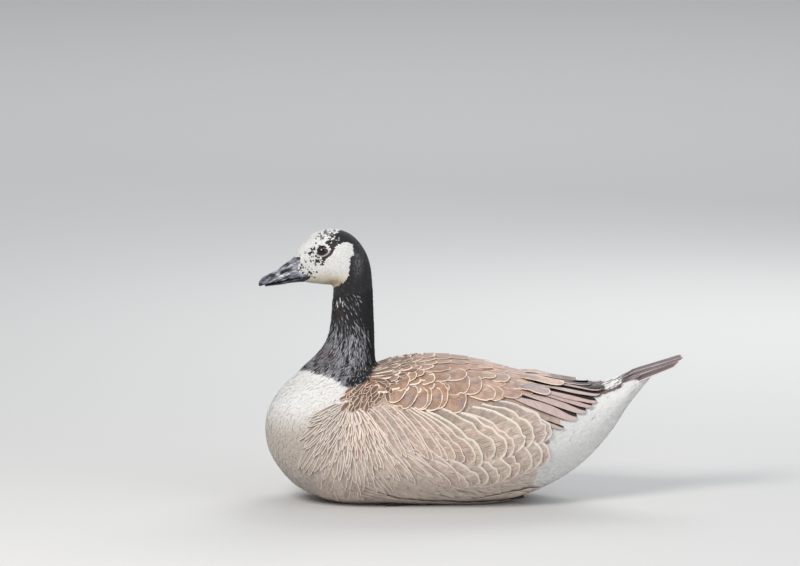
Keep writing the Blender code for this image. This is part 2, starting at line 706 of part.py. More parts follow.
def foot_outline(out, margin=0.0):
    """Web's outline seen from above, from the outer toe's tip round the front to the root."""
    reach = TOE_TIP_X - TOE_ROOT_X
    back, half = TOE_ROOT_X + WEB_ROOT[0] + margin, WEB_ROOT[1] + margin
    tips = [(TOE_ROOT_X + reach * share, out - spread) for spread, share in zip(TOE_SPREAD, TOE_SHARE)]
    points = [(back, out - half), (tips[0][0], tips[0][1] - margin)]
    for (ax, ay), (bx, by) in zip(tips, tips[1:]):
        points.append(((ax + bx) / 2 + (0.0 if margin else WEB_NOTCH), (ay + by) / 2))
        points.append((bx, by))
    points[-1] = (tips[2][0], tips[2][1] + margin)
    points.append((back, out + half))
    if margin:
        points = [(x - margin - CLAW if x < TOE_ROOT_X + reach / 4 else x, y) for x, y in points]
    return points


def slab(name, outline, low, high, material, where):
    """A flat plate of the outline between two heights."""
    bm = bmesh.new()
    base = [bm.verts.new((x, y, low)) for x, y in outline]
    roof = [bm.verts.new((x, y, high)) for x, y in outline]
    bm.faces.new(base)
    bm.faces.new(roof[::-1])
    for j in range(len(base)):
        k = (j + 1) % len(base)
        bm.faces.new((base[j], base[k], roof[k], roof[j]))
    return add_mesh(name, bm, material, where)


def box_outline(x_low, x_high, y_low, y_high):
    return [(x_low, y_low), (x_high, y_low), (x_high, y_high), (x_low, y_high)]


def make_leg(name, material, where):
    """Left leg: shank, three webbed toes and the small hind toe. Returns it and the cutters of its pocket."""
    out = -FOOT_OUT
    root = Vector((TOE_ROOT_X, out, TOE_RADIUS))
    shank = [(ANKLE_X, out - ANKLE_IN, ANKLE_Z), (SHANK_BEND_X, out, SHANK_BEND_Z), tuple(root)]
    web = slab(name, foot_outline(out), 0.0, WEB_THICKNESS, material, where)
    pieces = [rod("shank", shank, [SHANK_RADIUS * 1.15, SHANK_RADIUS, SHANK_RADIUS * 0.7], material, where)]
    for spread, share in zip(TOE_SPREAD, TOE_SHARE):
        reach = (TOE_TIP_X - TOE_ROOT_X) * share
        line = [(root.x + reach * f, out - spread * f, TOE_RADIUS * height) for f, height, _ in TOE_STEPS]
        radii = [TOE_RADIUS * radius for _, _, radius in TOE_STEPS]
        line.append((root.x + reach - CLAW, out - spread, TOE_RADIUS * CLAW_TIP))
        radii.append(TOE_RADIUS * CLAW_TIP)
        pieces.append(rod("toe", line, radii, material, where))
    hind_x, hind_y, hind_radius = HIND_TOE
    hind = [(root.x, out, TOE_RADIUS), (root.x + hind_x, out + hind_y, hind_radius)]
    pieces.append(rod("hind_toe", hind, [hind_radius, hind_radius * 0.6], material, where))
    combine(web, pieces, "UNION")

    wall = SHANK_RADIUS + POCKET_MARGIN
    under = -2 * WEB_MARGIN
    pocket_shank = [(shank[0][0] + WEB_ROOT[1], *shank[0][1:]), shank[1], shank[2]]
    pockets = [
        slab("pocket", foot_outline(out, WEB_MARGIN), under, 2 * TOE_RADIUS + POCKET_TOP, material, where),
        rod("pocket", pocket_shank, [wall] * 3, material, where),
        slab("pocket", box_outline(root.x, pocket_shank[0][0], out - wall, out + wall), under,
             ANKLE_Z - ANKLE_IN, material, where),
        slab("pocket", box_outline(root.x, root.x + hind_x + WEB_MARGIN, out, out + hind_y + WEB_MARGIN),
             under, 2 * TOE_RADIUS + POCKET_TOP, material, where),
    ]
    return web, pockets


def make_goose():
    clear_scene()
    goose = collection("canada_goose")
    black = finish_of("black_plumage", (0.02, 0.02, 0.022), 0.7)
    pale = finish_of("face_plumage", (0.75, 0.73, 0.68), 0.8)
    brown = finish_of("flank_plumage", (0.45, 0.36, 0.28), 0.8)
    wing_brown = finish_of("wing_plumage", (0.28, 0.19, 0.14), 0.75)
    tail_brown = finish_of("tail_plumage", (0.07, 0.05, 0.045), 0.6)
    horn = finish_of("bill_horn", (0.035, 0.036, 0.045), 0.35)
    foot_skin = finish_of("foot_skin", (0.03, 0.03, 0.03), 0.5)
    eye_brown = finish_of("eye", (0.02, 0.01, 0.008), 0.05)

    make_head(pale, eye_brown, goose)
    make_bill(horn, goose)
    stretch("neck", HEAD_END, NECK_END, NECK_AROUND, black, goose)
    torso = stretch("torso", NECK_END, TORSO_END, TORSO_AROUND, brown, goose)

    bed = wing_core("bed", wing_brown, goose, grow=BED_GROW)
    leg, pockets = make_leg("leg_left", foot_skin, goose)
    mirrored(leg, "leg_right", goose)
    cutters = [bed] + pockets
    cutters += [mirrored(cutter, "cutter_right", goose) for cutter in cutters]
    combine(torso, cutters, "DIFFERENCE", "MANIFOLD")

    wing = wing_core("wing_left", wing_brown, goose)
    combine(wing, wing_feathers(wing_brown, goose), "UNION", "MANIFOLD")
    mirrored(wing, "wing_right", goose)
    make_tail(tail_brown, goose)


if __name__ == "__main__":
    make_goose()
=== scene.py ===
import json
import math

import bpy
import numpy as np
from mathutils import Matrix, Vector
from mathutils.kdtree import KDTree

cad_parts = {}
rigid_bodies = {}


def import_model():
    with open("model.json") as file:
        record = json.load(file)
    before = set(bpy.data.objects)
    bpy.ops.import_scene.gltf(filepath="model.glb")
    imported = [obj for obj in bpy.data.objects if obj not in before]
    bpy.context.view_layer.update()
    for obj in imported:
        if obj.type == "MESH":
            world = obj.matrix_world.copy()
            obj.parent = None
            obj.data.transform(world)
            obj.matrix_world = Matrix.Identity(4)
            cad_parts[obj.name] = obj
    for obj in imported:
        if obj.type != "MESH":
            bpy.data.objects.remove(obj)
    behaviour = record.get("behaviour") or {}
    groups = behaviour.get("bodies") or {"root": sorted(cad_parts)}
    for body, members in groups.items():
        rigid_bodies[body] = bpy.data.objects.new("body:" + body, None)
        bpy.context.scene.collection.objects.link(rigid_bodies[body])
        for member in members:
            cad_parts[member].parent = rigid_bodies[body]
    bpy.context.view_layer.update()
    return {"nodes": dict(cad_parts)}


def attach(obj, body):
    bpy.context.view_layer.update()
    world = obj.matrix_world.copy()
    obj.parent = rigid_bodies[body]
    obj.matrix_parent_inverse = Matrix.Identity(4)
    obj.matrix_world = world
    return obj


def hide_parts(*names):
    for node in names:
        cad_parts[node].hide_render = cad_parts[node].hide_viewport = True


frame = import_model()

print("frame loaded with", len(frame["nodes"]), "nodes")

# the goose is read off a side view, one unit is 1/425 of its length, and that view looks down a little
unit = 0.5015 / 425
viewDown = math.radians(8.0)
viewCos, viewSin = math.cos(viewDown), math.sin(viewDown)
middleU, waterV, waterLine = 471.1, 438.5, 0.072
throatV = 291
headHalf, bodyHalf = 0.0266, 0.106
bodyFullness = 2.25
headWidest, bodyWidest = 0.42, 0.49

# one row a ring: back point, front point, half width over the part's own
headRings = [
    ((293.5, 257.8), (303, 281.6), 0.51), ((296.5, 251.5), (306, 282), 0.60),
    ((301, 245), (310, 282.6), 0.71), ((307.5, 238), (315, 283.1), 0.83),
    ((315, 232.8), (320, 283.6), 0.92), ((324, 229.8), (325, 284), 0.97),
    ((334, 229), (329, 284.3), 1.00), ((344, 231.2), (331.5, 284.8), 1.00),
    ((353, 236), (332.6, 285.6), 0.97), ((361, 244.5), (333, 286.5), 0.93),
    ((367, 255), (333.2, 287.5), 0.89), ((370.5, 266.5), (333.3, 289), 0.86),
    ((372, 279), (333.3, 291.5), 0.845),
]
bodyRings = [
    ((372.6, 291), (333, 295.5), 0.212), ((373, 303), (332.3, 303), 0.217),
    ((373.5, 317), (331.5, 315), 0.231), ((374, 331), (330, 328), 0.255),
    ((374.2, 343), (326.5, 340), 0.292), ((374.6, 352.5), (320.5, 350), 0.340),
    ((375, 358.5), (312, 359), 0.396), ((375.8, 362), (302.5, 368), 0.462),
    ((377, 364), (292.5, 377.5), 0.538), ((378.3, 364.8), (282, 387.5), 0.623),
    ((380, 364.6), (273, 400), 0.698), ((381.7, 364.2), (266.5, 415), 0.764),
    ((383.5, 363.5), (265.2, 432), 0.821), ((386, 362.6), (269, 450), 0.868),
    ((389, 361.4), (279, 467), 0.904), ((393, 360.2), (294, 483), 0.930),
    ((399, 358.8), (315, 494.5), 0.954), ((408, 357.2), (341, 501.5), 0.970),
    ((420, 355.9), (372, 503), 0.980), ((436, 355.2), (405, 503), 0.984),
    ((455, 356.6), (438, 503), 0.974), ((475, 360.2), (470, 502.5), 0.948),
    ((495, 365.3), (500, 499.5), 0.903), ((515, 370.6), (527, 492.5), 0.833),
    ((535, 376), (551, 482.5), 0.745), ((555, 380.2), (572, 470), 0.647),
    ((573, 382.6), (589, 456), 0.555), ((589, 383.4), (603, 441), 0.474),
    ((603, 382), (614, 427), 0.412), ((615, 378.8), (623, 413), 0.362),
    ((626, 374.6), (631.5, 400.5), 0.318), ((636, 371.6), (640, 390), 0.268),
    ((645, 369.4), (648, 380.5), 0.200),
]
headEnd = len(headRings) - 0.5
neckStart, torsoStart = float(len(headRings)), float(len(headRings) + 7)
skinEnd = len(headRings) + len(bodyRings) - 1.0


def side(u, v):
    # x and z of the middle plane at a place of the side view
    return (u - middleU) * unit, waterLine + (waterV - v) * unit / viewCos


def seen(points):
    # place on the side view, with the right half read as if it were the left
    drop = (points[..., 2] - waterLine) * viewCos - np.abs(points[..., 1]) * viewSin
    return np.stack([points[..., 0] / unit + middleU, waterV - drop / unit], -1)


def unitOf(vectors):
    return vectors / np.maximum(np.linalg.norm(vectors, axis=-1, keepdims=True), 1e-12)


def dotOf(a, b):
    return np.sum(a * b, axis=-1)


def laidFlat(way, normals):
    return unitOf(way - normals * dotOf(way, normals)[..., None])


def headingAt(degrees, normals):
    # the way along the surface that the side view shows so many degrees below level
    turn = np.radians(degrees)
    return laidFlat(np.stack([np.cos(turn), np.zeros(turn.shape), -np.sin(turn)], -1), normals)


def stationTable():
    rows = [(*side(*back), *side(*front), width * headHalf, headWidest) for back, front, width in headRings]
    rows += [(*side(*back), *side(*front), width * bodyHalf, bodyWidest) for back, front, width in bodyRings]
    return np.array(rows)


stations = stationTable()


def readCurve(rows, t):
    # a Catmull-Rom curve through the table's rows, run on straight past its ends
    held = np.clip(t, 0.0, len(rows) - 1.0)
    i = np.minimum(held.astype(int), len(rows) - 2)
    f = (t - i)[:, None]
    f = np.where((t > len(rows) - 1.0)[:, None], 1.0, np.where((t < 0)[:, None], 0.0, f))
    p1, p2 = rows[i], rows[i + 1]
    p0 = np.where((i > 0)[:, None], rows[np.maximum(i - 1, 0)], 2 * p1 - p2)
    p3 = np.where((i + 2 < len(rows))[:, None], rows[np.minimum(i + 2, len(rows) - 1)], 2 * p2 - p1)
    read = 0.5 * (2 * p1 + (p2 - p0) * f + (2 * p0 - 5 * p1 + 4 * p2 - p3) * f * f
                  + (3 * p1 - p0 - 3 * p2 + p3) * f ** 3)
    return read + (t - held)[:, None] * (p2 - p1) * 0.6


def ringAt(rows, t, a, fullness):
    # points on rings, t along them and a round from the back by the left
    shape = np.shape(t)
    backX, backZ, frontX, frontZ, half, share = readCurve(rows, np.ravel(t).astype(float)).T
    c, s = np.cos(np.ravel(a)), np.sin(np.ravel(a))
    alongX, alongZ = backX - frontX, backZ - frontZ
    reach = np.where(c > 0, 1 - share, share)
    up = np.sign(c) * np.abs(c) ** (2 / fullness) * reach + share
    out = np.sign(s) * np.abs(s) ** (2 / fullness) * np.maximum(half, 0.001)
    x, z = frontX + alongX * up, frontZ + alongZ * up
    return np.stack([x, -out, z], -1).reshape(shape + (3,))


def skinAt(t, a):
    # the outer surface from the face to the rump, with the belly flat on the floor
    points = ringAt(stations, t, a, bodyFullness)
    points[..., 2] = np.maximum(points[..., 2], 0.0)
    return points


def skinFrame(t, a):
    # point, outward normal and the two ways along the surface
    stepT, stepA = 0.03, 0.015
    along = (skinAt(t + stepT, a) - skinAt(t - stepT, a)) / (2 * stepT)
    around = (skinAt(t, a + stepA) - skinAt(t, a - stepA)) / (2 * stepA)
    return skinAt(t, a), unitOf(np.cross(around, along)), along, around


def moveOn(t, a, along, around, shift):
    # the place on the surface a short shift away
    g11, g12, g22 = dotOf(along, along), dotOf(along, around), dotOf(around, around)
    b1, b2 = dotOf(shift, along), dotOf(shift, around)
    low = np.maximum(g11 * g22 - g12 ** 2, 1e-16)
    stepT = np.clip((b1 * g22 - b2 * g12) / low, -1.5, 1.5)
    stepA = np.clip((b2 * g11 - b1 * g12) / low, -0.6, 0.6)
    return t + stepT, a + stepA


spineX, spineZ = (-0.2, 0.05, 0.12, 0.17, 0.21), (0.088, 0.088, 0.108, 0.124, 0.138)


def polar(points):
    # u, and the angle in degrees from straight up towards the left round the spine line
    rise = points[..., 2] - np.interp(points[..., 0], spineX, spineZ)
    return np.stack([points[..., 0] / unit + middleU, np.degrees(np.arctan2(-points[..., 1], rise))], -1)


def treeOf(points):
    tree = KDTree(len(points))
    for i, point in enumerate(points):
        tree.insert(point, i)
    tree.balance()
    return tree


class Finder:
    # finds the place on the left half that a reading of it asks for
    def __init__(self, read, firstT, lastT, faces):
        stepT, rim, columns = 0.125, 0.02, 120
        turns = np.linspace(rim, math.pi - rim, columns)
        t, a = np.meshgrid(np.arange(firstT, lastT, stepT), turns, indexing="ij")
        points, normals, _, _ = skinFrame(t, a)
        kept = (faces(normals) if faces else np.ones(t.shape, bool)).ravel()
        self.read, self.t, self.a = read, t.ravel()[kept], a.ravel()[kept]
        self.tree = treeOf([(*place, 0.0) for place in read(points).reshape(-1, 2)[kept]])

    def at(self, places):
        places = np.atleast_2d(np.asarray(places, float))
        near = [self.tree.find((*place, 0.0))[1] for place in places]
        t, a = self.t[near].copy(), self.a[near].copy()
        for _ in range(4):
            here = self.read(skinAt(t, a))
            byT = (self.read(skinAt(t + 0.02, a)) - here) / 0.02
            byA = (self.read(skinAt(t, a + 0.01)) - here) / 0.01
            gap = places - here
            low = byT[:, 0] * byA[:, 1] - byT[:, 1] * byA[:, 0]
            low = np.where(np.abs(low) < 1e-6, 1e-6, low)
            t += np.clip((gap[:, 0] * byA[:, 1] - gap[:, 1] * byA[:, 0]) / low, -0.3, 0.3)
            a += np.clip((gap[:, 1] * byT[:, 0] - gap[:, 0] * byT[:, 1]) / low, -0.2, 0.2)
            a = np.clip(a, 0.0, math.pi)
        return t, a


def facesView(normals):
    return -normals[..., 1] * viewCos + normals[..., 2] * viewSin > 0.03


bySight = Finder(seen, torsoStart - 3, skinEnd, facesView)
byAngle = Finder(polar, torsoStart + 4, skinEnd, None)
print("surface ready")


def inside(places, outline):
    # which places lie in the outline
    x, y = places[..., 0], places[..., 1]
    found = np.zeros(x.shape, bool)
    for (ax, ay), (bx, by) in zip(outline, outline[1:] + outline[:1]):
        crosses = (ay > y) != (by > y)
        found ^= crosses & (x < (bx - ax) * (y - ay) / (by - ay + 1e-12) + ax)
    return found


def blob(places, centre, size):
    gap = (places - np.array(centre)) / np.array(size)
    return np.exp(-np.sum(gap ** 2, -1))


def spots(places, table):
    return sum(strength * blob(places, centre, size) for centre, size, strength in table)


def ripple(places, scale, seed):
    # a smooth random field from a few waves, -1 to 1
    rng = np.random.default_rng(seed)
    total = np.zeros(places.shape[:-1])
    for _ in range(7):
        way = rng.normal(size=2)
        total += np.sin(places @ (way / scale) + rng.random() * 6.28)
    return total / 4.0


def ramp(value, start, over, most=1):
    # from 0 at the start up to the most, a negative width runs the other way
    return np.clip((value - start) / over, 0, most)


def pick(where, a, b):
    return np.where(where[..., None], a, b)


def shaken(places, scale, seed, amount):
    # places moved a little, so that an outline read there has an uneven edge
    return places + np.stack([ripple(places, scale, seed), ripple(places, scale, seed + 1)], -1) * amount


def mix(a, b, share):
    share = np.clip(share, 0, 1)[..., None]
    return np.asarray(a) * (1 - share) + np.asarray(b) * share


# what the plumage is coloured with, linear
tones = {
    "white": (0.74, 0.735, 0.72), "cream": (0.74, 0.66, 0.52), "jawBuffAndShade": (0.42, 0.33, 0.20),
    "black": (0.016, 0.016, 0.018), "stripe": (0.050, 0.031, 0.026), "greyFleck": (0.15, 0.15, 0.165),
    # the neck's grey just below is painted sheen on the black feathers of the neck and nape
    "neckSheenGrey": (0.40, 0.40, 0.43), "neckDark": (0.012, 0.012, 0.014), "neckBrown": (0.11, 0.055, 0.045),
    "breast": (0.73, 0.72, 0.705), "breastLowAndShade": (0.42, 0.355, 0.305),
    "flank": (0.35, 0.235, 0.182), "flankRim": (0.80, 0.685, 0.61), "flankLow": (0.49, 0.41, 0.345),
    "mantle": (0.085, 0.036, 0.022), "mantleRim": (0.66, 0.50, 0.40), "shoulder": (0.24, 0.15, 0.11),
    "fan": (0.24, 0.178, 0.14), "fanRim": (0.64, 0.57, 0.51),
    "covert": (0.30, 0.158, 0.100), "covertRear": (0.49, 0.31, 0.23), "covertRim": (0.82, 0.67, 0.53),
    "tertial": (0.58, 0.41, 0.32), "grey": (0.42, 0.35, 0.36), "flight": (0.58, 0.46, 0.43),
    "flightDark": (0.018, 0.012, 0.010), "rump": (0.17, 0.125, 0.11), "tailRim": (0.46, 0.345, 0.325),
    "vent": (0.72, 0.71, 0.69), "tail": (0.095, 0.066, 0.068), "tailRoot": (0.165, 0.14, 0.155),
}

# outlines of the markings on the side view
cheekRear = [(353.3, 244.4), (354.1, 248.5), (353.7, 255.2), (350.4, 257.7), (349.9, 266.8), (349.5, 275.1),
             (347, 278.4), (344.5, 281.7), (337.9, 286.2)]
marks = {
    "cheek": [(346.2, 241.9), (350.4, 242.3), *cheekRear, (332, 288), (318, 288), (322.2, 270),
              (323.8, 266.8), (324.7, 261.8), (328, 258.5), (333, 254.3), (334.6, 249.4), (338.8, 244.4)],
    "stripe": [(343, 227), (339.5, 231), (337, 233.5), (333.5, 237), (329.5, 239.5), (325.7, 242.8),
               (328.3, 244.8), (330, 247), (330.6, 250), (329.5, 253), (326, 254.6), (320.4, 254.8),
               (322, 257.2), (322.8, 259.8), (322.2, 263.5), (323.6, 264.2), (325.6, 260.2), (330.6, 255.6),
               (333.2, 252), (336, 246.7), (340, 246), (347, 243), (354, 246), (356, 225)],
    "hood": [(343, 226), (344, 231), (346.5, 236), (349, 240.5), *cheekRear, (331.5, 288.3), (322, 291),
             (322, 330), (390, 330), (390, 220)],
    "neckEnd": [(280, 280), (280, 371), (302, 366.5), (310, 366), (317, 368.6), (325.3, 370.6),
                (333.5, 373.7), (340.6, 377.8), (345.7, 383), (351.8, 387), (355.9, 388), (358, 386),
                (363, 383), (368.2, 377.8), (371.2, 371.6), (373.3, 365.5), (376, 361), (400, 355),
                (400, 280)],
    "vent": [(606, 386), (592, 396), (578, 406), (564, 418), (553, 427), (548, 436), (546, 448),
             (536, 470), (520, 520), (720, 520), (720, 360), (622, 372), (604, 377)],
    "rump": [(560, 340), (560, 396), (598, 396), (611, 392), (616, 389.6), (621.5, 387), (621.8, 384.6),
             (627.5, 381), (634.4, 380), (641, 380.5), (652, 376), (660, 340)],
    "upperTail": [(602.5, 377.5), (612.6, 370), (621.6, 368), (621.8, 382.3), (617, 385.8), (612.6, 388.4),
                  (605.7, 389.6)],
    "wing": [(372, 340), (372, 392), (400, 404), (408, 430), (424, 446), (470, 480), (500, 478), (530, 452),
             (540, 430), (556, 404), (590, 391), (596, 340)],
    "mantle": [(349, 398), (350.5, 392), (353, 386), (358, 385), (365, 381), (369, 376), (372, 367),
               (375, 360), (377, 340), (412, 340), (406, 366), (400, 372), (390, 374), (387, 380),
               (387, 391), (378, 397), (366, 400), (355, 403)],
}

# the flecks of the face by group: middle, spread, how many and how big
flecks = {
    "black": [((314, 254.5), (3, 4.6), 18, 0.85), ((319, 261.5), (2.4, 4.6), 18, 0.95),
              ((301.5, 266.5), (2.4, 3.8), 14, 0.75), ((311.5, 274), (3.4, 2.6), 15, 0.90),
              ((318, 243.5), (3.2, 2.4), 9, 0.7), ((309, 262), (4, 6), 11, 0.6),
              ((306, 250), (4, 6), 6, 0.5), ((334, 236), (3.6, 2.6), 20, 0.70)],
    "grey": [((330, 233.5), (6, 2.4), 46, 0.75), ((318, 236), (5, 2.4), 8, 0.55)],
    "white": [((335, 237.5), (3.4, 3.2), 24, 0.80)],
}


def inFlecks(places, kind):
    # whether places lie in one of the group's flecks, each a little longer than wide
    rng = np.random.default_rng(len(kind))
    found = np.zeros(places.shape[:-1], bool)
    for middle, reach, count, size in flecks[kind]:
        for spot in rng.normal(middle, reach, (count, 2)):
            gap = (places - spot) / (size * rng.uniform(0.65, 1.3)) * (1.15, 0.85)
            found |= dotOf(gap, gap) < 1
    return found


def headTone(places, seed):
    # white face with black flecks, stripe through the eye, black crown and nape round the white cheek
    rng = np.random.default_rng(seed)
    u, v = places[..., 0], places[..., 1]
    edge = shaken(places, 1.3, 3, 0.45)
    cheek = inside(edge, marks["cheek"])
    colour = np.tile(np.array(tones["white"]), u.shape + (1,))
    colour = mix(colour, tones["cream"], ramp(v, 270, 12, 0.85) * (u > 300))
    # the underside of the jaw in buff, darker downward: partly its own buff and partly painted shade
    colour = mix(colour, tones["jawBuffAndShade"], 0.85 * blob(places, (337, 282), (9, 3.2)) + 0.5 * ramp(v, 281, 4))
    colour = pick(inFlecks(places, "grey") & ~cheek, tones["greyFleck"], colour)
    colour = pick(inFlecks(places, "black") & ~cheek, tones["black"], colour)
    stripe = inside(edge, marks["stripe"]) & ~cheek & ~inFlecks(places, "white")
    dark = mix(tones["stripe"], tones["black"], ramp(v, 246, -6) + 0.4 * rng.random(u.shape))
    colour = pick(stripe, dark, colour)
    hood = inside(edge, marks["hood"]) & (rng.random(u.shape) > 0.15 * blob(places, (344, 236), (3, 5)))
    # painted sheen: grey over the nape, and a few grey tufts over the hood
    sheen = np.clip(blob(places, (358.5, 263), (4.5, 12)), 0, 1) * rng.random(u.shape)
    black = mix(tones["black"], tones["neckSheenGrey"], 0.35 * sheen + 0.05 * (rng.random(u.shape) < 0.1))
    return pick(hood, black, colour)


def neckTone(places, seed):
    # black with painted sheen: grey strands of painted highlight, more of them low down and in front, and
    # brown and flecked spots at the throat
    rng = np.random.default_rng(seed)
    u, v = places[..., 0], places[..., 1]
    low = ramp(v, 316, 36)
    rear = np.interp(v, (290, 330, 360, 390), (360, 371, 374, 362))
    front = ramp(u, rear, -12)
    # how much grey painted sheen each place gets
    grey = (0.04 + 0.90 * low) * front + 0.13 * blob(places, (352, 308), (9, 16))
    grey *= 1 - 0.9 * blob(places, (333, 293), (9, 8)) - 0.55 * blob(places, (358, 382), (14, 9))
    grey *= ramp(v, 284, 10)
    draw = rng.random(u.shape)
    band = 0.6 + 0.6 * ripple(places * (1, 0.25), 1.3, 5)
    # the tufts that carry the grey painted sheen
    sheenStrand = draw < grey * 1.35 * np.clip(band, 0.3, 1.3)
    share = np.where(sheenStrand, 0.25 + 0.75 * rng.random(u.shape), 0.02 * draw)
    colour = mix(tones["neckDark"], tones["neckSheenGrey"], share)
    colour = mix(colour, tones["neckBrown"], 0.6 * blob(places, (339.5, 316), (4.5, 6)) * (draw > 0.3)
                 + 0.42 * blob(places, (326, 356), (11, 10)) * (draw > 0.35))
    flecked = rng.random(u.shape) < 0.26 * blob(places, (340, 304), (4.6, 2.6))
    return pick(flecked, mix(tones["neckSheenGrey"], tones["white"], rng.random(u.shape)), colour)


def bodyTone(places, seed):
    # breast, flank, rump and vent as plain colours for the skin and the small feathers
    rng = np.random.default_rng(seed)
    u, v = places[..., 0], places[..., 1]
    edge = shaken(places, 5, 6, 1.6)
    # the breast creamier and darker towards its underside: partly its own tone and partly painted shade
    lowAndShade = np.clip((v - 404 - 0.10 * (u - 270)) / 34, 0, 0.85)
    breast = mix(tones["breast"], tones["breastLowAndShade"], lowAndShade + 0.35 * blob(places, (332, 418), (26, 20)))
    flank = mix(tones["flank"], tones["flankLow"], ramp(v, 440, 40))
    flank = mix(flank, tones["flankRim"], 0.25 + 0.2 * rng.random(u.shape))
    breastEnd = np.interp(v, (386, 404, 418, 431, 446, 470), (350, 345, 336, 327, 320, 318))
    toFlank = np.clip((u - breastEnd) / 14 + 0.5, 0, 1)
    colour = mix(breast, flank, toFlank)
    back = np.clip((402 + 0.05 * (u - 400) - v) / 10, 0, 1) * (u > 352)
    colour = mix(colour, mix(tones["covert"], tones["covertRear"], ramp(u, 450, 60)), back)
    colour = pick(inside(edge, marks["vent"]), tones["vent"], colour)
    near = places + (edge - places) * 0.4
    rumpTone = mix(tones["rump"], tones["tail"], ramp(u, 605, 12))
    colour = pick(inside(near, marks["rump"]), rumpTone, colour)
    return pick(inside(near, marks["upperTail"]), tones["vent"], colour)


def plumageTone(places, seed):
    # the whole bird's colour at places of the side view
    head = (places[..., 1] < throatV) | inside(places, [(280, 280), (280, 296), (390, 296), (390, 280)])
    neck = inside(shaken(places, 2, 8, 0.8), marks["neckEnd"])
    colour = pick(neck, neckTone(places, seed + 1), bodyTone(places, seed + 2))
    return pick(head, headTone(places, seed), colour)


# one flow for the whole coat: from the bill over the head and down the neck, then back along the body
flow = {"shoulder": (348, 404), "places": (400, 450, 520, 560), "lie": (44, 34, 17, 6)}


def lieOf(points, normals, along):
    # the way the feathers lie on the surface
    way = unitOf(along)
    places = seen(points)
    u, v = places[..., 0], places[..., 1]
    slant = 0.50 * ramp(v, 282, 8) * ramp(v, 334, -16) * ramp(u, 370, -8)
    back = np.array([1.0, 0, 0]) - normals * normals[..., :1]
    way = unitOf(way + back * (slant * np.clip(np.abs(normals[..., 1]) * 1.5, 0, 1))[..., None])
    gapU, gapV = u - flow["shoulder"][0], v - flow["shoulder"][1]
    radial = np.degrees(np.arctan2(gapV, gapU))
    lie = np.where(u < 400, radial, np.interp(u, flow["places"], flow["lie"]))
    mid = ramp(u, 380, 40)
    lie = np.where(u < 420, radial * (1 - mid) + flow["lie"][0] * mid, lie)
    turned = headingAt(lie, normals)
    flank = ramp(gapV, -4, 10) * ramp(u, 322, 18) * ramp(u, 575, -20)
    flank = flank * np.clip(np.abs(normals[..., 1]) * 1.6 - 0.1, 0, 1)
    return unitOf(way * (1 - flank[..., None]) + turned * flank[..., None])


def spread(firstT, lastT, gapAt, seed, kept):
    # random places on the surface, no two nearer than the gap there
    rng = np.random.default_rng(seed)
    cells, crowd = 160, 3.0
    stepT, stepA = (lastT - firstT) / cells, 2 * math.pi / cells
    steps = np.arange(cells) + 0.5
    t, a = np.meshgrid(firstT + stepT * steps, stepA * steps, indexing="ij")
    points, _, along, around = skinFrame(t, a)
    weight = np.linalg.norm(np.cross(along, around), axis=-1) * stepT * stepA / gapAt(points) ** 2
    weight = weight * kept(points, t)
    count = int(crowd * weight.sum())
    cell = rng.choice(weight.size, count, p=(weight / weight.sum()).ravel())
    t = t.ravel()[cell] + (rng.random(count) - 0.5) * stepT
    a = a.ravel()[cell] + (rng.random(count) - 0.5) * stepA
    points = skinAt(t, a)
    gaps = gapAt(points)
    tree = treeOf(points)
    alive = np.ones(count, bool)
    for i in range(count):
        if alive[i]:
            for _, j, _ in tree.find_range(points[i], gaps[i]):
                if j > i:
                    alive[j] = False
    alive &= kept(points, t) > 0
    return t[alive], a[alive]


def walk(t, a, way, length, shares):
    # places along a path over the surface, at shares of its length, in short steps
    stops, done, longest = [], 0.0, 0.2
    for share in shares:
        parts = max(1, int(math.ceil((share - done) / longest)))
        for _ in range(parts):
            _, normal, along, around = skinFrame(t, a)
            way = laidFlat(way, normal)
            if share > done:
                t, a = moveOn(t, a, along, around, way * ((share - done) / parts * length)[:, None])
        done = share
        _, normal, along, around = skinFrame(t, a)
        way = laidFlat(way, normal)
        stops.append((t, a, way))
    return stops


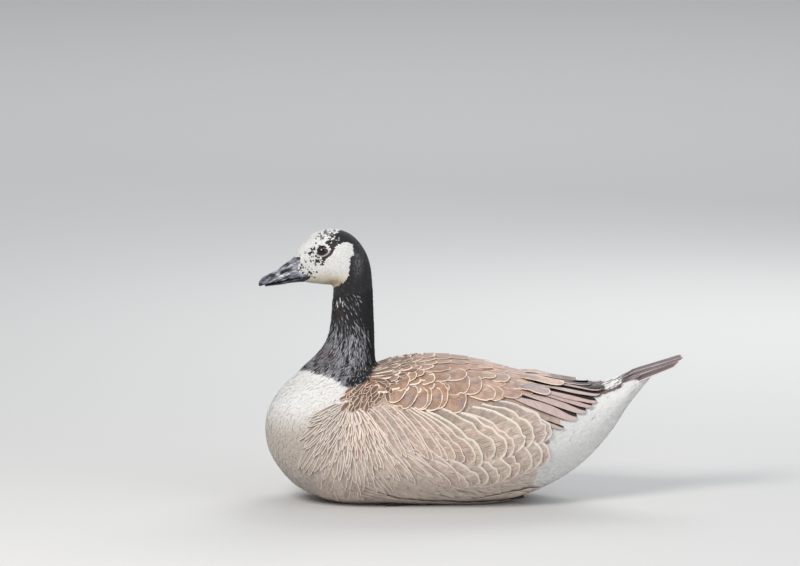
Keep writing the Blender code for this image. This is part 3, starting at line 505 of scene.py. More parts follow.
def growFeathers(t, a, way, length, half, shape, rng, rootLift, tipLift, flip=False):
    # feathers over the surface, each a grid of points for its top and one for its underside
    shares, widths = np.array(shape["along"]), np.array(shape["width"])
    across = np.array(shape["across"])
    count, rows, columns = len(t), len(shares), len(across)
    length, half = np.broadcast_to(length, count), np.broadcast_to(half, count)
    rootLift, tipLift = np.broadcast_to(rootLift, count), np.broadcast_to(tipLift, count)
    bend = rng.normal(0, shape.get("bend", 0.0), count)
    top, low, face = (np.zeros((count, rows, columns, 3)) for _ in range(3))
    roll, riseEnd = shape.get("roll", 0.15), shape.get("riseEnd", 1.0)
    nick, nickDepth = np.ones((count, rows, 2)), 0.22
    if shape.get("nicks"):
        nick -= (rng.random((count, rows, 2)) < shape["nicks"]) * rng.random((count, rows, 2)) * nickDepth
        nick[:, 0] = 1
    for k, (tk, ak, wk) in enumerate(walk(t, a, way, length, shares)):
        _, normal, along, around = skinFrame(tk, ak)
        across3 = np.cross(wk, normal) * (-1.0 if flip else 1.0)
        lean = bend * length * shares[k] ** 2
        rise = rootLift + (tipLift - rootLift) * min(1.0, shares[k] / riseEnd)
        for j, s in enumerate(across):
            cut = nick[:, k, 0] if s < 0 else nick[:, k, 1]
            wide = s * widths[k] * half * np.where(abs(s) > 0.5, cut, 1.0) + lean
            tj, aj = moveOn(tk, ak, along, around, across3 * wide[:, None])
            point, up, _, _ = skinFrame(tj, aj)
            lift = rise + shape.get("tilt", 0.0) * s - shape.get("camber", 0.0) * s * s * half
            thick = shape["thick"] * (1 - 0.9 * s * s) * (1 - 0.5 * shares[k])
            face[:, k, j] = unitOf(up + across3 * roll * s)
            top[:, k, j] = point + up * lift[:, None]
            low[:, k, j] = point + up * (lift - thick)[:, None]
    # how far a point is from the vane's side or tip, which the rims are painted by
    sideGap = (1 - np.abs(across))[None, :] * widths[:, None] * half[:, None, None]
    tipGap = (1.0 - shares)[None, :, None] * length[:, None, None]
    edge = np.minimum(sideGap, tipGap + 0.0003)
    vane = np.stack(np.broadcast_arrays(across[None, None, :], shares[None, :, None], edge * 100), -1).copy()
    return {"top": top, "low": low, "vane": vane, "count": count, "rows": rows, "columns": columns,
            "t": t, "a": a, "flip": flip, "face": face}


def featherFaces(rows, columns):
    # triangles of one closed feather: its top, its underside and the thin wall at its tip and root
    top = np.arange(rows * columns).reshape(rows, columns)
    low = top + rows * columns
    p, q, r, o = top[:-1, :-1], top[1:, :-1], top[1:, 1:], top[:-1, 1:]
    upper = np.concatenate([np.stack([p, r, q], -1).reshape(-1, 3), np.stack([p, o, r], -1).reshape(-1, 3)])
    under = upper[:, ::-1] + rows * columns
    walls = []
    for k, turn in ((0, 1), (rows - 1, -1)):
        for j in range(columns - 1):
            if columns > 3 or k:
                quad = (top[k, j], top[k, j + 1], low[k, j + 1], low[k, j])
                walls += [(quad[0], quad[2], quad[1])[::turn], (quad[0], quad[3], quad[2])[::turn]]
    return np.concatenate([upper, under, np.array(walls)])


def patchUv(feathers, firstT, lastT, size=0.003):
    # a small patch for each feather at its root's place on the skin's own unwrap
    s, f = feathers["vane"][..., 0], feathers["vane"][..., 1]
    u = (feathers["a"] / (2 * math.pi)) % 1.0
    v = (feathers["t"] - firstT) / (lastT - firstT)
    u, v = np.clip(u, 0.003, 0.997)[:, None, None], np.clip(v, 0.003, 0.997)[:, None, None]
    return np.stack([u + s * size / 2, v + (f - 0.5) * size], -1)


def cellUv(feathers, first=0, total=None):
    # a cell of the map for each large feather
    total = total or feathers["count"]
    cells = int(math.ceil(math.sqrt(total)))
    number = np.arange(feathers["count"]) + first
    s, f = feathers["vane"][..., 0], feathers["vane"][..., 1]
    u = (number % cells)[:, None, None] + 0.5 + s * 0.46
    v = (number // cells)[:, None, None] + 0.04 + f * 0.92
    return np.stack([u, v], -1) / cells


def closedTube(rows, columns):
    # triangles of a tube of rings with a fan at each end; the two middle points come last
    index = np.arange(rows * columns).reshape(rows, columns)
    near, far = index[:-1], index[1:]
    nextNear, nextFar = np.roll(near, -1, 1), np.roll(far, -1, 1)
    first, last = rows * columns, rows * columns + 1
    cap = np.stack([np.full(columns, first), np.roll(index[0], -1), index[0]], -1)
    tip = np.stack([np.full(columns, last), index[-1], np.roll(index[-1], -1)], -1)
    return np.concatenate([np.stack([near, nextNear, nextFar], -1).reshape(-1, 3),
                           np.stack([near, nextFar, far], -1).reshape(-1, 3), cap, tip])


def roundGrid(alongs, columns):
    return np.meshgrid(alongs, np.arange(columns) * 2 * math.pi / columns, indexing="ij")


def roundMap(a, shares):
    # the map of a tube: once round, and from end to end, with a point for each end's middle
    flat = np.stack(np.broadcast_arrays(a / (2 * math.pi), shares), -1).reshape(-1, 2)
    return np.concatenate([flat, [[0.5, 0], [0.5, 1]]])


def fill(data, key, values, kind=np.float32):
    data.foreach_set(key, np.ascontiguousarray(values, kind).ravel())


def addPiece(name, points, faces, layers, uv, finish, shading=None):
    # one mesh from arrays, with its colours, its map for the bake and, for feathers, its shading
    mesh = bpy.data.meshes.new(name)
    mesh.vertices.add(len(points))
    fill(mesh.vertices, "co", points)
    mesh.loops.add(faces.size)
    fill(mesh.loops, "vertex_index", faces, np.int32)
    mesh.polygons.add(len(faces))
    fill(mesh.polygons, "loop_start", np.arange(0, faces.size, 3), np.int32)
    for layer, values in layers.items():
        if values.shape[-1] == 4:
            fill(mesh.color_attributes.new(layer, "FLOAT_COLOR", "POINT").data, "color", values)
        else:
            fill(mesh.attributes.new(layer, "FLOAT_VECTOR", "POINT").data, "vector", values)
    fill(mesh.uv_layers.new(name="OFBake").data, "uv", uv[faces.ravel()])
    mesh.update()
    mesh.shade_smooth()
    if shading is not None:
        mesh.normals_split_custom_set_from_vertices(shading)
    mesh.materials.append(finish)
    piece = bpy.data.objects.new(name, mesh)
    bpy.context.scene.collection.objects.link(piece)
    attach(piece, "root")
    return piece


def withAlpha(colour):
    return np.concatenate([colour, np.ones(colour.shape[:-1] + (1,))], -1)


def addTube(name, points, a, shares, toneOf, finish, tipOut=0.0):
    # a closed tube of rings, coloured by its places on the side view
    ends = np.array([points[0].mean(0), points[-1].mean(0) + (-tipOut, 0, 0)])
    flat = np.concatenate([points.reshape(-1, 3), ends])
    tone = withAlpha(toneOf(seen(flat)))
    return addPiece(name, flat, closedTube(*points.shape[:2]), {"tone": tone}, roundMap(a, shares), finish)


def addFeathers(name, groups, finish):
    # groups of feathers with their tone, rim and map, joined into one piece
    gathered = {key: [] for key in ("points", "faces", "tone", "rim", "vane", "uv", "shading")}
    start = 0
    for feathers, inner, outer, where in groups:
        n, rows, columns = feathers["count"], feathers["rows"], feathers["columns"]
        pattern = featherFaces(rows, columns)
        if feathers["flip"]:
            pattern = pattern[:, ::-1]
        each = 2 * rows * columns
        starts = start + each * np.arange(n)
        gathered["faces"].append((pattern[None] + starts[:, None, None]).reshape(-1, 3))
        start += each * n

        def bothSides(top, low=None):
            top = np.broadcast_to(top, (n, rows, columns, top.shape[-1])).reshape(n, -1, top.shape[-1])
            low = top if low is None else low.reshape(top.shape)
            return np.concatenate([top, low], 1).reshape(-1, top.shape[-1])
        gathered["points"].append(bothSides(feathers["top"], feathers["low"]))
        gathered["shading"].append(bothSides(feathers["face"], -feathers["face"]))
        gathered["tone"].append(withAlpha(bothSides(inner if inner.ndim == 4 else inner[:, None, None])))
        gathered["rim"].append(withAlpha(bothSides(outer if outer.ndim == 4 else outer[:, None, None])))
        gathered["vane"].append(bothSides(feathers["vane"]))
        gathered["uv"].append(bothSides(where))
    whole = {key: np.concatenate(values) for key, values in gathered.items()}
    layers = {key: whole[key] for key in ("tone", "rim", "vane")}
    piece = addPiece(name, whole["points"], whole["faces"], layers, whole["uv"], finish, whole["shading"])
    print(name, sum(group[0]["count"] for group in groups), "feathers,", len(whole["faces"]), "triangles")
    return piece


class Nodes:
    # short hand for building a material
    def __init__(self, name):
        self.material = bpy.data.materials.new(name)
        self.material.use_nodes = True
        self.tree = self.material.node_tree
        self.shader = self.tree.nodes["Principled BSDF"]

    def add(self, kind, **settings):
        node = self.tree.nodes.new(kind)
        for key, value in settings.items():
            if hasattr(node, key):
                setattr(node, key, value)
            else:
                self.plug(value, node.inputs[key.replace("_", " ")])
        return node

    def plug(self, value, socket):
        if isinstance(value, bpy.types.NodeSocket):
            self.tree.links.new(value, socket)
        else:
            socket.default_value = value

    def math(self, operation, a, b=0.0):
        node = self.add("ShaderNodeMath", operation=operation)
        self.plug(a, node.inputs[0])
        self.plug(b, node.inputs[1])
        return node.outputs[0]

    def times(self, a, b):
        return self.math("MULTIPLY", a, b)

    def plus(self, a, b):
        return self.math("ADD", a, b)

    def minus(self, a, b):
        return self.math("SUBTRACT", a, b)

    def span(self, value, low, high, lowAndShade=0.0, toHigh=1.0):
        node = self.add("ShaderNodeMapRange", interpolation_type="SMOOTHSTEP")
        for socket, given in zip(node.inputs, (value, low, high, lowAndShade, toHigh)):
            self.plug(given, socket)
        return node.outputs[0]

    def blend(self, share, a, b, mode="MIX"):
        node = self.add("ShaderNodeMix", data_type="RGBA", blend_type=mode)
        self.plug(share, node.inputs[0])
        for socket, given in ((node.inputs[6], a), (node.inputs[7], b)):
            self.plug(given if isinstance(given, bpy.types.NodeSocket) else (*given[:3], 1.0), socket)
        return node.outputs[2]

    def attribute(self, name, output="Color"):
        return self.add("ShaderNodeAttribute", attribute_name=name).outputs[output]

    def parts(self, name):
        return self.add("ShaderNodeSeparateXYZ", Vector=self.attribute(name, "Vector")).outputs

    def flat(self, x, y):
        return self.add("ShaderNodeCombineXYZ", X=x, Y=y).outputs[0]

    def grey(self, value):
        node = self.add("ShaderNodeCombineColor")
        for socket in node.inputs[:3]:
            self.plug(value, socket)
        return node.outputs[0]

    def noise(self, scale, detail=3.0, vector=None, roughness=0.55):
        return self.add("ShaderNodeTexNoise", Scale=scale, Detail=detail, Roughness=roughness,
                        Vector=vector or self.place()).outputs["Fac"]

    def place(self):
        return self.add("ShaderNodeTexCoord").outputs["Object"]

    def stretch(self, vector, scale):
        return self.add("ShaderNodeMapping", Vector=vector, Scale=scale).outputs["Vector"]

    def bump(self, height, strength, distance):
        node = self.add("ShaderNodeBump", Strength=strength, Distance=distance, Height=height)
        self.plug(node.outputs["Normal"], self.shader.inputs["Normal"])

    def finish(self, colour, roughness, **fixed):
        self.plug(colour, self.shader.inputs["Base Color"])
        self.plug(roughness, self.shader.inputs["Roughness"])
        for key, value in fixed.items():
            self.shader.inputs[key.replace("_", " ")].default_value = value
        return self.material


def coatFinish(name, rough, sheen, shine=0.35, rootShade=0.85):
    # small feathers: their own tone, painted shade at the root where the feather above covers it, and
    # fretted along the length
    n = Nodes(name)
    vane = n.attribute("vane", "Vector")
    shade = n.span(n.parts("vane")[1], 0.0, 0.7, rootShade, 1.0)
    fret = n.noise(1.0, 2.0, n.stretch(vane, (6.0, 1.4, 0.0)))
    tint = n.times(shade, n.span(fret, 0.3, 0.7, 0.92, 1.05))
    colour = n.blend(1.0, n.attribute("tone"), n.grey(tint), "MULTIPLY")
    n.bump(n.noise(1.0, 2.0, n.stretch(vane, (5.0, 1.0, 0.0))), 0.2, 0.0003)
    return n.finish(colour, rough, Sheen_Weight=sheen, Sheen_Roughness=0.5, Specular_IOR_Level=shine)


def vaneFinish(name, rimWide, rimSoft, rough, barbs=1.0, shaft=0.35, rimShare=1.0, clouded=0.0,
               barbRate=34.0, fade=1.0):
    # large feathers: tone inside, a rim of another tone, a shaft line, and barbs slanting off it
    n = Nodes(name)
    across, along, edge = n.parts("vane")
    away = n.math("ABSOLUTE", across)
    slant = n.minus(n.times(along, barbRate), n.times(away, 9.0))
    streak = n.noise(1.0, 2.5, n.flat(slant, n.times(across, 1.5)), 0.6)
    wander = n.plus(edge, n.times(n.minus(streak, 0.5), rimWide * 140 * rimSoft))
    rim = n.span(wander, rimWide * (95 - 17 * fade), rimWide * (95 + 17 * fade), rimShare, 0.0)
    tone = n.blend(n.span(streak, 0.3, 0.7, 0.0, 0.30 * barbs), n.attribute("tone"), n.attribute("rim"))
    tone = n.blend(n.span(n.noise(55.0, 2.0), 0.45, 0.65, 0.0, clouded), tone, (0.33, 0.255, 0.26))
    cloud = n.span(n.noise(90.0, 2.0), 0.35, 0.7, 0.80, 1.10)
    # painted shade: darker towards the root, where the feather above covers it, times a random cloud
    shade = n.times(cloud, n.span(along, 0.0, 0.6, 0.62, 1.0))
    tone = n.blend(1.0, tone, n.grey(shade), "MULTIPLY")
    tone = n.blend(n.span(away, 0.0, 0.05, shaft, 0.0), tone, (0.05, 0.03, 0.02))
    colour = n.blend(rim, tone, n.attribute("rim"))
    n.bump(n.plus(streak, n.span(away, 0.0, 0.06, 0.8, 0.0)), 0.35, 0.0004)
    return n.finish(colour, rough, Sheen_Weight=0.1, Sheen_Roughness=0.5, Specular_IOR_Level=0.35)


def skinFinish():
    n = Nodes("underCoat")
    fret = n.noise(520.0, 4.0)
    colour = n.blend(n.span(fret, 0.3, 0.7, 0.0, 0.6), n.attribute("tone"), (0.62, 0.60, 0.58), "MULTIPLY")
    n.bump(fret, 0.4, 0.0006)
    return n.finish(colour, 0.85, Sheen_Weight=0.1)


# shapes of a single feather: shares along it, its width there, and where its columns stand
tuftShape = {"along": (0.0, 0.55, 1.0), "width": (0.55, 1.0, 0.12), "across": (-1, 0, 1), "thick": 0.0004,
             "camber": 0.20, "bend": 0.05, "roll": 0.25}
lockShape = {"along": (0.0, 0.35, 0.72, 1.0), "width": (0.6, 1.0, 0.8, 0.10), "across": (-1, 0, 1),
             "thick": 0.0005, "camber": 0.25, "bend": 0.06, "roll": 0.45}
bodyShape = {"along": (0.0, 0.3, 0.6, 0.85, 0.96, 1.0), "width": (0.45, 0.9, 1.0, 0.84, 0.5, 0.15),
             "across": (-1, 0, 1), "thick": 0.00035, "camber": 0.03, "bend": 0.05, "nicks": 0.2,
             "roll": 0.12}
breastShape = {"along": (0.0, 0.5, 0.86, 1.0), "width": (0.5, 1.0, 0.8, 0.15), "across": (-1, 0, 1),
               "thick": 0.0003, "camber": 0.02, "bend": 0.05, "roll": 0.10}
plumeShape = {"along": (0.0, 0.15, 0.32, 0.48, 0.6, 0.7, 0.79, 0.86, 0.92, 0.96, 0.985, 1.0),
              "width": (0.35, 0.62, 0.84, 0.96, 1.0, 0.99, 0.94, 0.85, 0.71, 0.55, 0.36, 0.16),
              "across": (-1, -0.72, -0.36, 0, 0.36, 0.72, 1), "thick": 0.0007, "camber": 0.04, "bend": 0.02,
              "nicks": 0.2, "tilt": 0.0006}
strandShape = {"along": (0.0, 0.2, 0.4, 0.6, 0.75, 0.87, 0.95, 1.0),
               "width": (0.5, 0.85, 1.0, 0.95, 0.85, 0.68, 0.42, 0.12),
               "across": (-1, -0.5, 0, 0.5, 1), "thick": 0.0007, "camber": 0.10, "bend": 0.05, "nicks": 0.2}
flightShape = {"along": (0.0, 0.12, 0.25, 0.4, 0.55, 0.7, 0.82, 0.90, 0.95, 0.98, 1.0),
               "width": (0.45, 0.7, 0.88, 0.98, 1.0, 0.99, 0.95, 0.85, 0.69, 0.48, 0.18),
               "across": (-1, -0.75, -0.4, 0, 0.4, 0.75, 1), "thick": 0.0008, "camber": 0.03, "nicks": 0.1,
               "tilt": 0.0014, "riseEnd": 0.35}
tertialShape = {**flightShape, "width": (0.45, 0.7, 0.88, 0.98, 1.0, 0.99, 0.93, 0.82, 0.68, 0.50, 0.22)}


def evenSize(points):
    return np.ones(points.shape[:-1])


def coatPiece(name, look):
    # a stretch of the coat in small feathers that follow the lie
    rng = np.random.default_rng(look["seed"])
    sizeAt = look.get("sizeAt", evenSize)
    t, a = spread(*look["rings"], lambda points: look["gap"] * sizeAt(points), look["seed"], look["kept"])
    points, normals, along, _ = skinFrame(t, a)
    way = lieOf(points, normals, along)
    turn = rng.normal(0, 0.10, len(t))[:, None]
    way = unitOf(way * np.cos(turn) + np.cross(normals, way) * np.sin(turn))
    size = sizeAt(points) * rng.uniform(0.85, 1.15, len(t))
    length, (rootLift, tipLift) = look["length"] * size, look["lift"]
    feathers = growFeathers(t, a, way, length, look["half"] * size, look["shape"], rng,
                            rootLift * rng.uniform(0.7, 1.3, len(t)),
                            tipLift * rng.uniform(0.3, 1.7, len(t)))
    uneven = look.get("uneven", 0.08)
    shade = rng.uniform(1 - uneven * 1.2, 1 + uneven * 0.8, (len(t), 1))
    if look.get("crisp"):
        tone = look["tone"](seen(feathers["top"]), look["seed"]) * shade[:, None, None]
    else:
        reach = skinAt(*walk(t, a, way, length * 0.7, (1.0,))[0][:2])
        tone = look["tone"](seen(reach), look["seed"]) * shade
    group = (feathers, tone, tone, patchUv(feathers, *look["rings"]))
    addFeathers(name, [group], look["finish"])


# the horn's edge on the face, as the side shows it
hornEdge = [(292.0, 257.5), (301.4, 256.6), (300.2, 261.0), (297.6, 266.5), (297.0, 271.5), (300.5, 273.2),
            (309.0, 275.5), (312.0, 278.0), (303.0, 282.0), (303.0, 300.0), (270.0, 300.0), (270.0, 240.0)]
eyeLook = {"at": (323.1, 249.3), "radius": 0.0080, "depth": 0.0054, "bareLong": 0.0069, "bareHigh": 0.0048,
           "rings": 34, "columns": 72, "down": 0.62}

# the skin's grid, how deep it lies under the outer surface ring by ring, and its height over the floor
skinLook = {"rows": 420, "columns": 200, "ring": (0, 11, 14, 20, 24, 40, 45), "overFloor": 0.0006,
            "depth": (0.0007, 0.0008, 0.0014, 0.0015, 0.0015, 0.0018, 0.0014)}


def makeSkin():
    # the bird's own surface inside its coat
    t, a = roundGrid(np.linspace(0, skinEnd, skinLook["rows"]), skinLook["columns"])
    points, normals, _, _ = skinFrame(t, a)
    depth = np.interp(t, skinLook["ring"], skinLook["depth"])
    points = points - normals * depth[..., None]
    points[..., 2] = np.maximum(points[..., 2], skinLook["overFloor"])
    skin = addTube("skin", points, a, t / skinEnd, lambda places: plumageTone(places, 50), skinFinish())
    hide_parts("head", "neck", "torso")


makeSkin()
print("skin made")


def eyeGap(points, t):
    # no feathers on the eye and the horn of the bill
    x, z = side(*eyeLook["at"])
    gap = np.hypot((points[..., 0] - x) / eyeLook["bareLong"], (points[..., 2] - z) / eyeLook["bareHigh"])
    return ((gap > 1.0) & ~inside(seen(points), hornEdge)).astype(float)


def headSize(points):
    # smallest round the eye and the bill
    places = seen(points)
    near = np.maximum(blob(places, (303, 266), (9, 14)), blob(places, (316, 255), (11, 15)))
    return 1.0 - 0.38 * near


def headOrNeck(places, seed):
    onHead = places[..., 1] < throatV
    return pick(onHead, headTone(places, seed), neckTone(places, seed))


def neckOnly(points, t):
    return (inside(seen(points), marks["neckEnd"]) | (t < neckStart + 2)).astype(float)


def smallBody(points, t):
    # everything on the torso but the neck and what the large feathers lie over
    places = seen(points)
    return (~inside(places, marks["neckEnd"]) & ~inside(places, marks["wing"])).astype(float)


def breastOnly(points, t):
    return smallBody(points, t) * (seen(points)[..., 0] < 352)


def rumpOnly(points, t):
    return smallBody(points, t) * (seen(points)[..., 0] >= 540)


def restOfBody(points, t):
    return smallBody(points, t) * (seen(points)[..., 0] >= 346) * (t < torsoStart + 19)


bodyFinish = coatFinish("bodyFeather", 0.8, 0.15)
# the small feathers by piece: rings they cover, spacing and size in m, height of root and tip over the skin
coats = {
    "headFeathers": {
        "rings": (0.02, headEnd + 0.2), "gap": 0.00115, "length": 0.0034, "half": 0.00098,
        "lift": (-0.0009, 0.0001), "shape": tuftShape, "seed": 21, "sizeAt": headSize, "kept": eyeGap,
        "tone": headTone, "finish": coatFinish("faceFeather", 0.75, 0.15), "slot": "face_plumage"},
    "neckFeathers": {
        "rings": (headEnd - 0.3, torsoStart + 4), "gap": 0.00130, "length": 0.0086, "half": 0.00064,
        "lift": (-0.0018, 0.0004), "shape": lockShape, "seed": 22, "kept": neckOnly, "tone": headOrNeck,
        "finish": coatFinish("neckFeather", 0.6, 0.05, 0.3), "slot": "black_plumage"},
    "breastFeathers": {
        "rings": (torsoStart - 2, torsoStart + 13), "gap": 0.0027, "length": 0.0125, "half": 0.0026,
        "lift": (-0.0012, 0.0001), "shape": breastShape, "seed": 25, "uneven": 0.03, "kept": breastOnly,
        "tone": bodyTone, "finish": coatFinish("breastFeather", 0.85, 0.2, 0.2, 0.95),
        "slot": "flank_plumage"},
    "rumpFeathers": {
        "rings": (torsoStart + 17, skinEnd - 0.3), "gap": 0.0027, "length": 0.0120, "half": 0.0026,
        "lift": (-0.0012, 0.0001), "shape": breastShape, "seed": 26, "uneven": 0.04, "kept": rumpOnly,
        "tone": bodyTone, "crisp": True, "finish": bodyFinish, "slot": "flank_plumage"},
    "bodyFeathers": {
        "rings": (torsoStart - 2, skinEnd - 0.4), "gap": 0.0040, "length": 0.0150, "half": 0.0036,
        "lift": (-0.0017, 0.0001), "shape": bodyShape, "seed": 23, "kept": restOfBody, "tone": bodyTone,
        "finish": bodyFinish, "slot": "flank_plumage"},
}
for name, look in coats.items():
    coatPiece(name, look)
print("small feathers made")


# large feathers: each row holds tip u and v, heading in degrees below level, half width and length in units,
# and how far its root and tip stand over the surface in mm
def feathersToTip(table, shape, rng, left, find=None):
    table = np.array(table, float)
    t, a = (find or bySight).at(table[:, 0:2])
    points, normals, _, _ = skinFrame(t, a)
    way = headingAt(table[:, 2], normals)
    length, half = table[:, 4] * unit, table[:, 3] * unit
    rootT, rootA, back = walk(t, a, -way, length, (1.0,))[0]
    if not left:
        rootA, back = -rootA, back * (1, -1, 1)
    rootLift, tipLift = table[:, 5] * 0.001, table[:, 6] * 0.001
    return growFeathers(rootT, rootA, -back, length, half, shape, rng, rootLift, tipLift, flip=not left)


def jitter(table, rng, left, amount=1.0):
    # the right side's feathers stand a little otherwise than the left's
    table = np.array(table, float)
    table[:, 0:2] += rng.normal(0, amount * (0.15 if left else 0.7), (len(table), 2))
    table[:, 2] += rng.normal(0, 1.2, len(table))
    return table


def tinted(colour, rng, count, depth=0.12, hue=0.035):
    return np.array(tones[colour]) * rng.uniform(1 - depth, 1 + depth, (count, 1)) \
        * rng.uniform(1 - hue, 1 + hue, (count, 3))


def flightWebs(name, nearRoot, nearTip):
    # the quills: pale along the lower edge, and black above it, more of it towards the tip
    n = Nodes(name)
    across, along, edge = n.parts("vane")
    slant = n.minus(n.times(along, 60.0), n.times(n.math("ABSOLUTE", across), 7.0))
    streak = n.noise(1.0, 2.5, n.flat(slant, across), 0.6)
    wander = n.times(n.minus(streak, 0.5), 0.12)
    limit = n.span(along, 0.50, 0.96, nearRoot, nearTip)
    black = n.span(n.minus(n.plus(across, wander), limit), -0.05, 0.05, 1.0, 0.0)
    tone = n.blend(n.span(streak, 0.30, 0.7, 0.0, 0.55), n.attribute("tone"), (0.32, 0.22, 0.20))
    colour = n.blend(black, tone, n.attribute("rim"))
    n.bump(streak, 0.3, 0.0004)
    return n.finish(colour, 0.6, Sheen_Weight=0.1, Specular_IOR_Level=0.35)


covertFinish = vaneFinish("covertFeather", 0.0017, 0.25, 0.7, clouded=0.55)
webFinish = flightWebs("flightWeb", -0.28, 0.22)
quillFinish = flightWebs("flightQuill", 0.62, 0.84)

# scapulars and coverts as the left side shows them, front to back: tip u, tip v, heading, half width, length
covertTable = [
    (396, 379, 25, 6.5, 20), (406, 383, 20, 13, 26), (400, 396, 32, 13, 28), (415, 376, 5, 8.5, 24),
    (411.5, 399, 28, 16, 34), (422.7, 373, 8, 7.5, 24), (426.5, 397, 6, 14, 30), (429.8, 397, 6, 15, 32),
    (433.5, 379, 3, 8, 26),
    (441, 398, 6, 14, 32), (446.7, 394, 5, 16.5, 34), (464.2, 375, 6, 12.5, 46), (464, 402, 22, 15, 40),
    (468, 383, 4, 18, 42), (481, 385, 6, 16, 38), (492, 369.5, 3, 7.5, 36), (495.3, 377, 4, 8, 36),
    (495, 394, 12, 11, 36), (502.5, 396, 14, 11, 36), (509, 379, 6, 13, 40), (527.8, 386, 6, 13, 42),
]
# the rows under and above them over the back: tip u, half width and length of each row, front to back
backRows = [(388, 5.2, 22), (397, 5.8, 24), (407, 6.4, 27), (418, 7.2, 30), (431, 8.4, 36), (446, 9.8, 46),
            (464, 11.0, 54), (484, 11.5, 56), (505, 11.5, 54), (522, 10.5, 48), (535, 9.0, 40)]
# the rear of the wing from the lowest up: tip u, tip v, heading, half width, length, height of the tip in mm
webs = [
    (563.2, 428.0, 12, 3.2, 30, 0.9), (575.8, 422.8, 23, 8.2, 68, 1.3), (585.5, 419.0, 22.5, 7.0, 72, 1.6),
    (592.5, 415.2, 22, 6.2, 74, 1.9), (598.8, 410.8, 20, 6.0, 76, 2.2), (604.8, 404.3, 18, 6.2, 78, 2.5),
    (608.2, 397.4, 14.5, 5.2, 76, 2.8),
]
quills = [(609.0, 394.4, 15, 6.0, 66, 3.0), (609.0, 392.6, 17, 9.5, 60, 3.2), (596, 386.0, 10, 9.0, 60, 3.3),
          (592, 383.4, 6, 9.0, 62, 3.5)]
tertials = [(549.3, 393.8, 10, 9.5, 36, 3.9, "grey"), (579, 380.2, 4, 12, 54, 3.7, "tertial"),
            (565, 385.6, 10, 15, 50, 4.6, "tertial")]


# lifts are of root and tip in mm, the far wing's are a little other; places are along the side view
wingLook = {"seeds": (31, 32), "backShare": 1.45, "backRadius": 0.086, "backTo": 58, "backLift": (-1.2, 0.8),
            "covertLift": (-3.0, 2.6), "tertialRoot": -1.0, "tertialFarRise": 1.2, "darkTertialFrom": 570,
            "flightRoot": -1.6, "quillFarTip": 1.0, "rearFrom": 455, "rearOver": 50, "faintFrom": 425,
            "faintOver": 40, "faint": 0.6}


def backTable(rng):
    # even rows like shingles, every other one shifted by half a feather
    rows, look = [], wingLook
    for row, (u, half, length) in enumerate(backRows):
        pitch = half * look["backShare"] * unit / look["backRadius"] * 57.3
        for angle in np.arange(4 + (row % 2) * pitch / 2, look["backTo"], pitch):
            place = (u + rng.normal(0, 1.2), angle + rng.normal(0, 1))
            rows.append((*place, 4 + 0.15 * angle, half, length, *look["backLift"]))
    return rows


def makeCoverts(name, left, rng):
    # the rows over the back, the scapulars and coverts, and the tertials, in one piece
    look = wingLook
    rise = 0 if left else look["tertialFarRise"]
    tables = [backTable(rng), jitter([(*row, *look["covertLift"]) for row in covertTable], rng, left),
              jitter([(*row[:5], look["tertialRoot"], row[5] + rise) for row in tertials], rng, left, 0.4)]
    groups, first, total = [], 0, sum(len(table) for table in tables)
    for table, shape, find in zip(tables, (plumeShape, plumeShape, tertialShape), (byAngle, None, None)):
        feathers = feathersToTip(table, shape, rng, left, find)
        count, table = feathers["count"], np.array(table, float)
        u, faint = table[:, 0], np.zeros(count)
        rear = ramp(u, look["rearFrom"], look["rearOver"])
        tone = mix(tinted("covert", rng, count), tones["covertRear"], rear)
        if shape is tertialShape:
            tone = np.array([tones[row[6]] for row in tertials]) * rng.uniform(0.95, 1.05, (count, 1))
        if find is byAngle:
            faint = ramp(u, look["faintFrom"], look["faintOver"]) * look["faint"]
            feathers["vane"][..., 2] *= np.interp(u, (388, 450), (0.5, 0.8))[:, None, None]
        rim = mix(tinted("covertRim", rng, count, 0.08), tone, faint)
        if shape is tertialShape:
            dark = (u > look["darkTertialFrom"])[:, None, None] * ramp(feathers["vane"][..., 1], 0.40, 0.12)
            tone = mix(tone[:, None, None], tones["flightDark"], dark)
        groups.append((feathers, tone, rim, cellUv(feathers, first, total)))
        first += count
    return addFeathers(name, groups, covertFinish)


def makeWing(left):
    look, rng = wingLook, np.random.default_rng(wingLook["seeds"][0 if left else 1])
    name = "wingLeft" if left else "wingRight"
    coverts = makeCoverts(name + "Coverts", left, rng)
    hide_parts("wing_left" if left else "wing_right")
    for part, table, finish in (("Webs", webs, webFinish), ("Quills", quills, quillFinish)):
        flat = table is quills and not left
        rows = [(*row[:5], look["flightRoot"], look["quillFarTip"] if flat else row[5]) for row in table]
        feathers = feathersToTip(jitter(rows, rng, left, 0.4), flightShape, rng, left)
        count = feathers["count"]
        dark = np.tile(np.array(tones["flightDark"]), (count, 1))
        if table is quills:
            dark[-1] = tones["rump"]
        tone = tinted("flight", rng, count, 0.08)
        addFeathers(name + part, [(feathers, tone, dark, cellUv(feathers))], finish)


flankShape = {**plumeShape, "tilt": -0.0013, "camber": 0.0, "nicks": 0.45}
fanShape = {**strandShape, "tilt": -0.0006, "camber": 0.04}
flankFinish = vaneFinish("flankFeather", 0.0026, 1.9, 0.8, barbs=2.4, shaft=0.10, rimShare=0.95,
                         barbRate=70.0, fade=3.2)
fanFinish = vaneFinish("fanStrand", 0.0012, 0.7, 0.8, barbs=1.2, shaft=0.30)

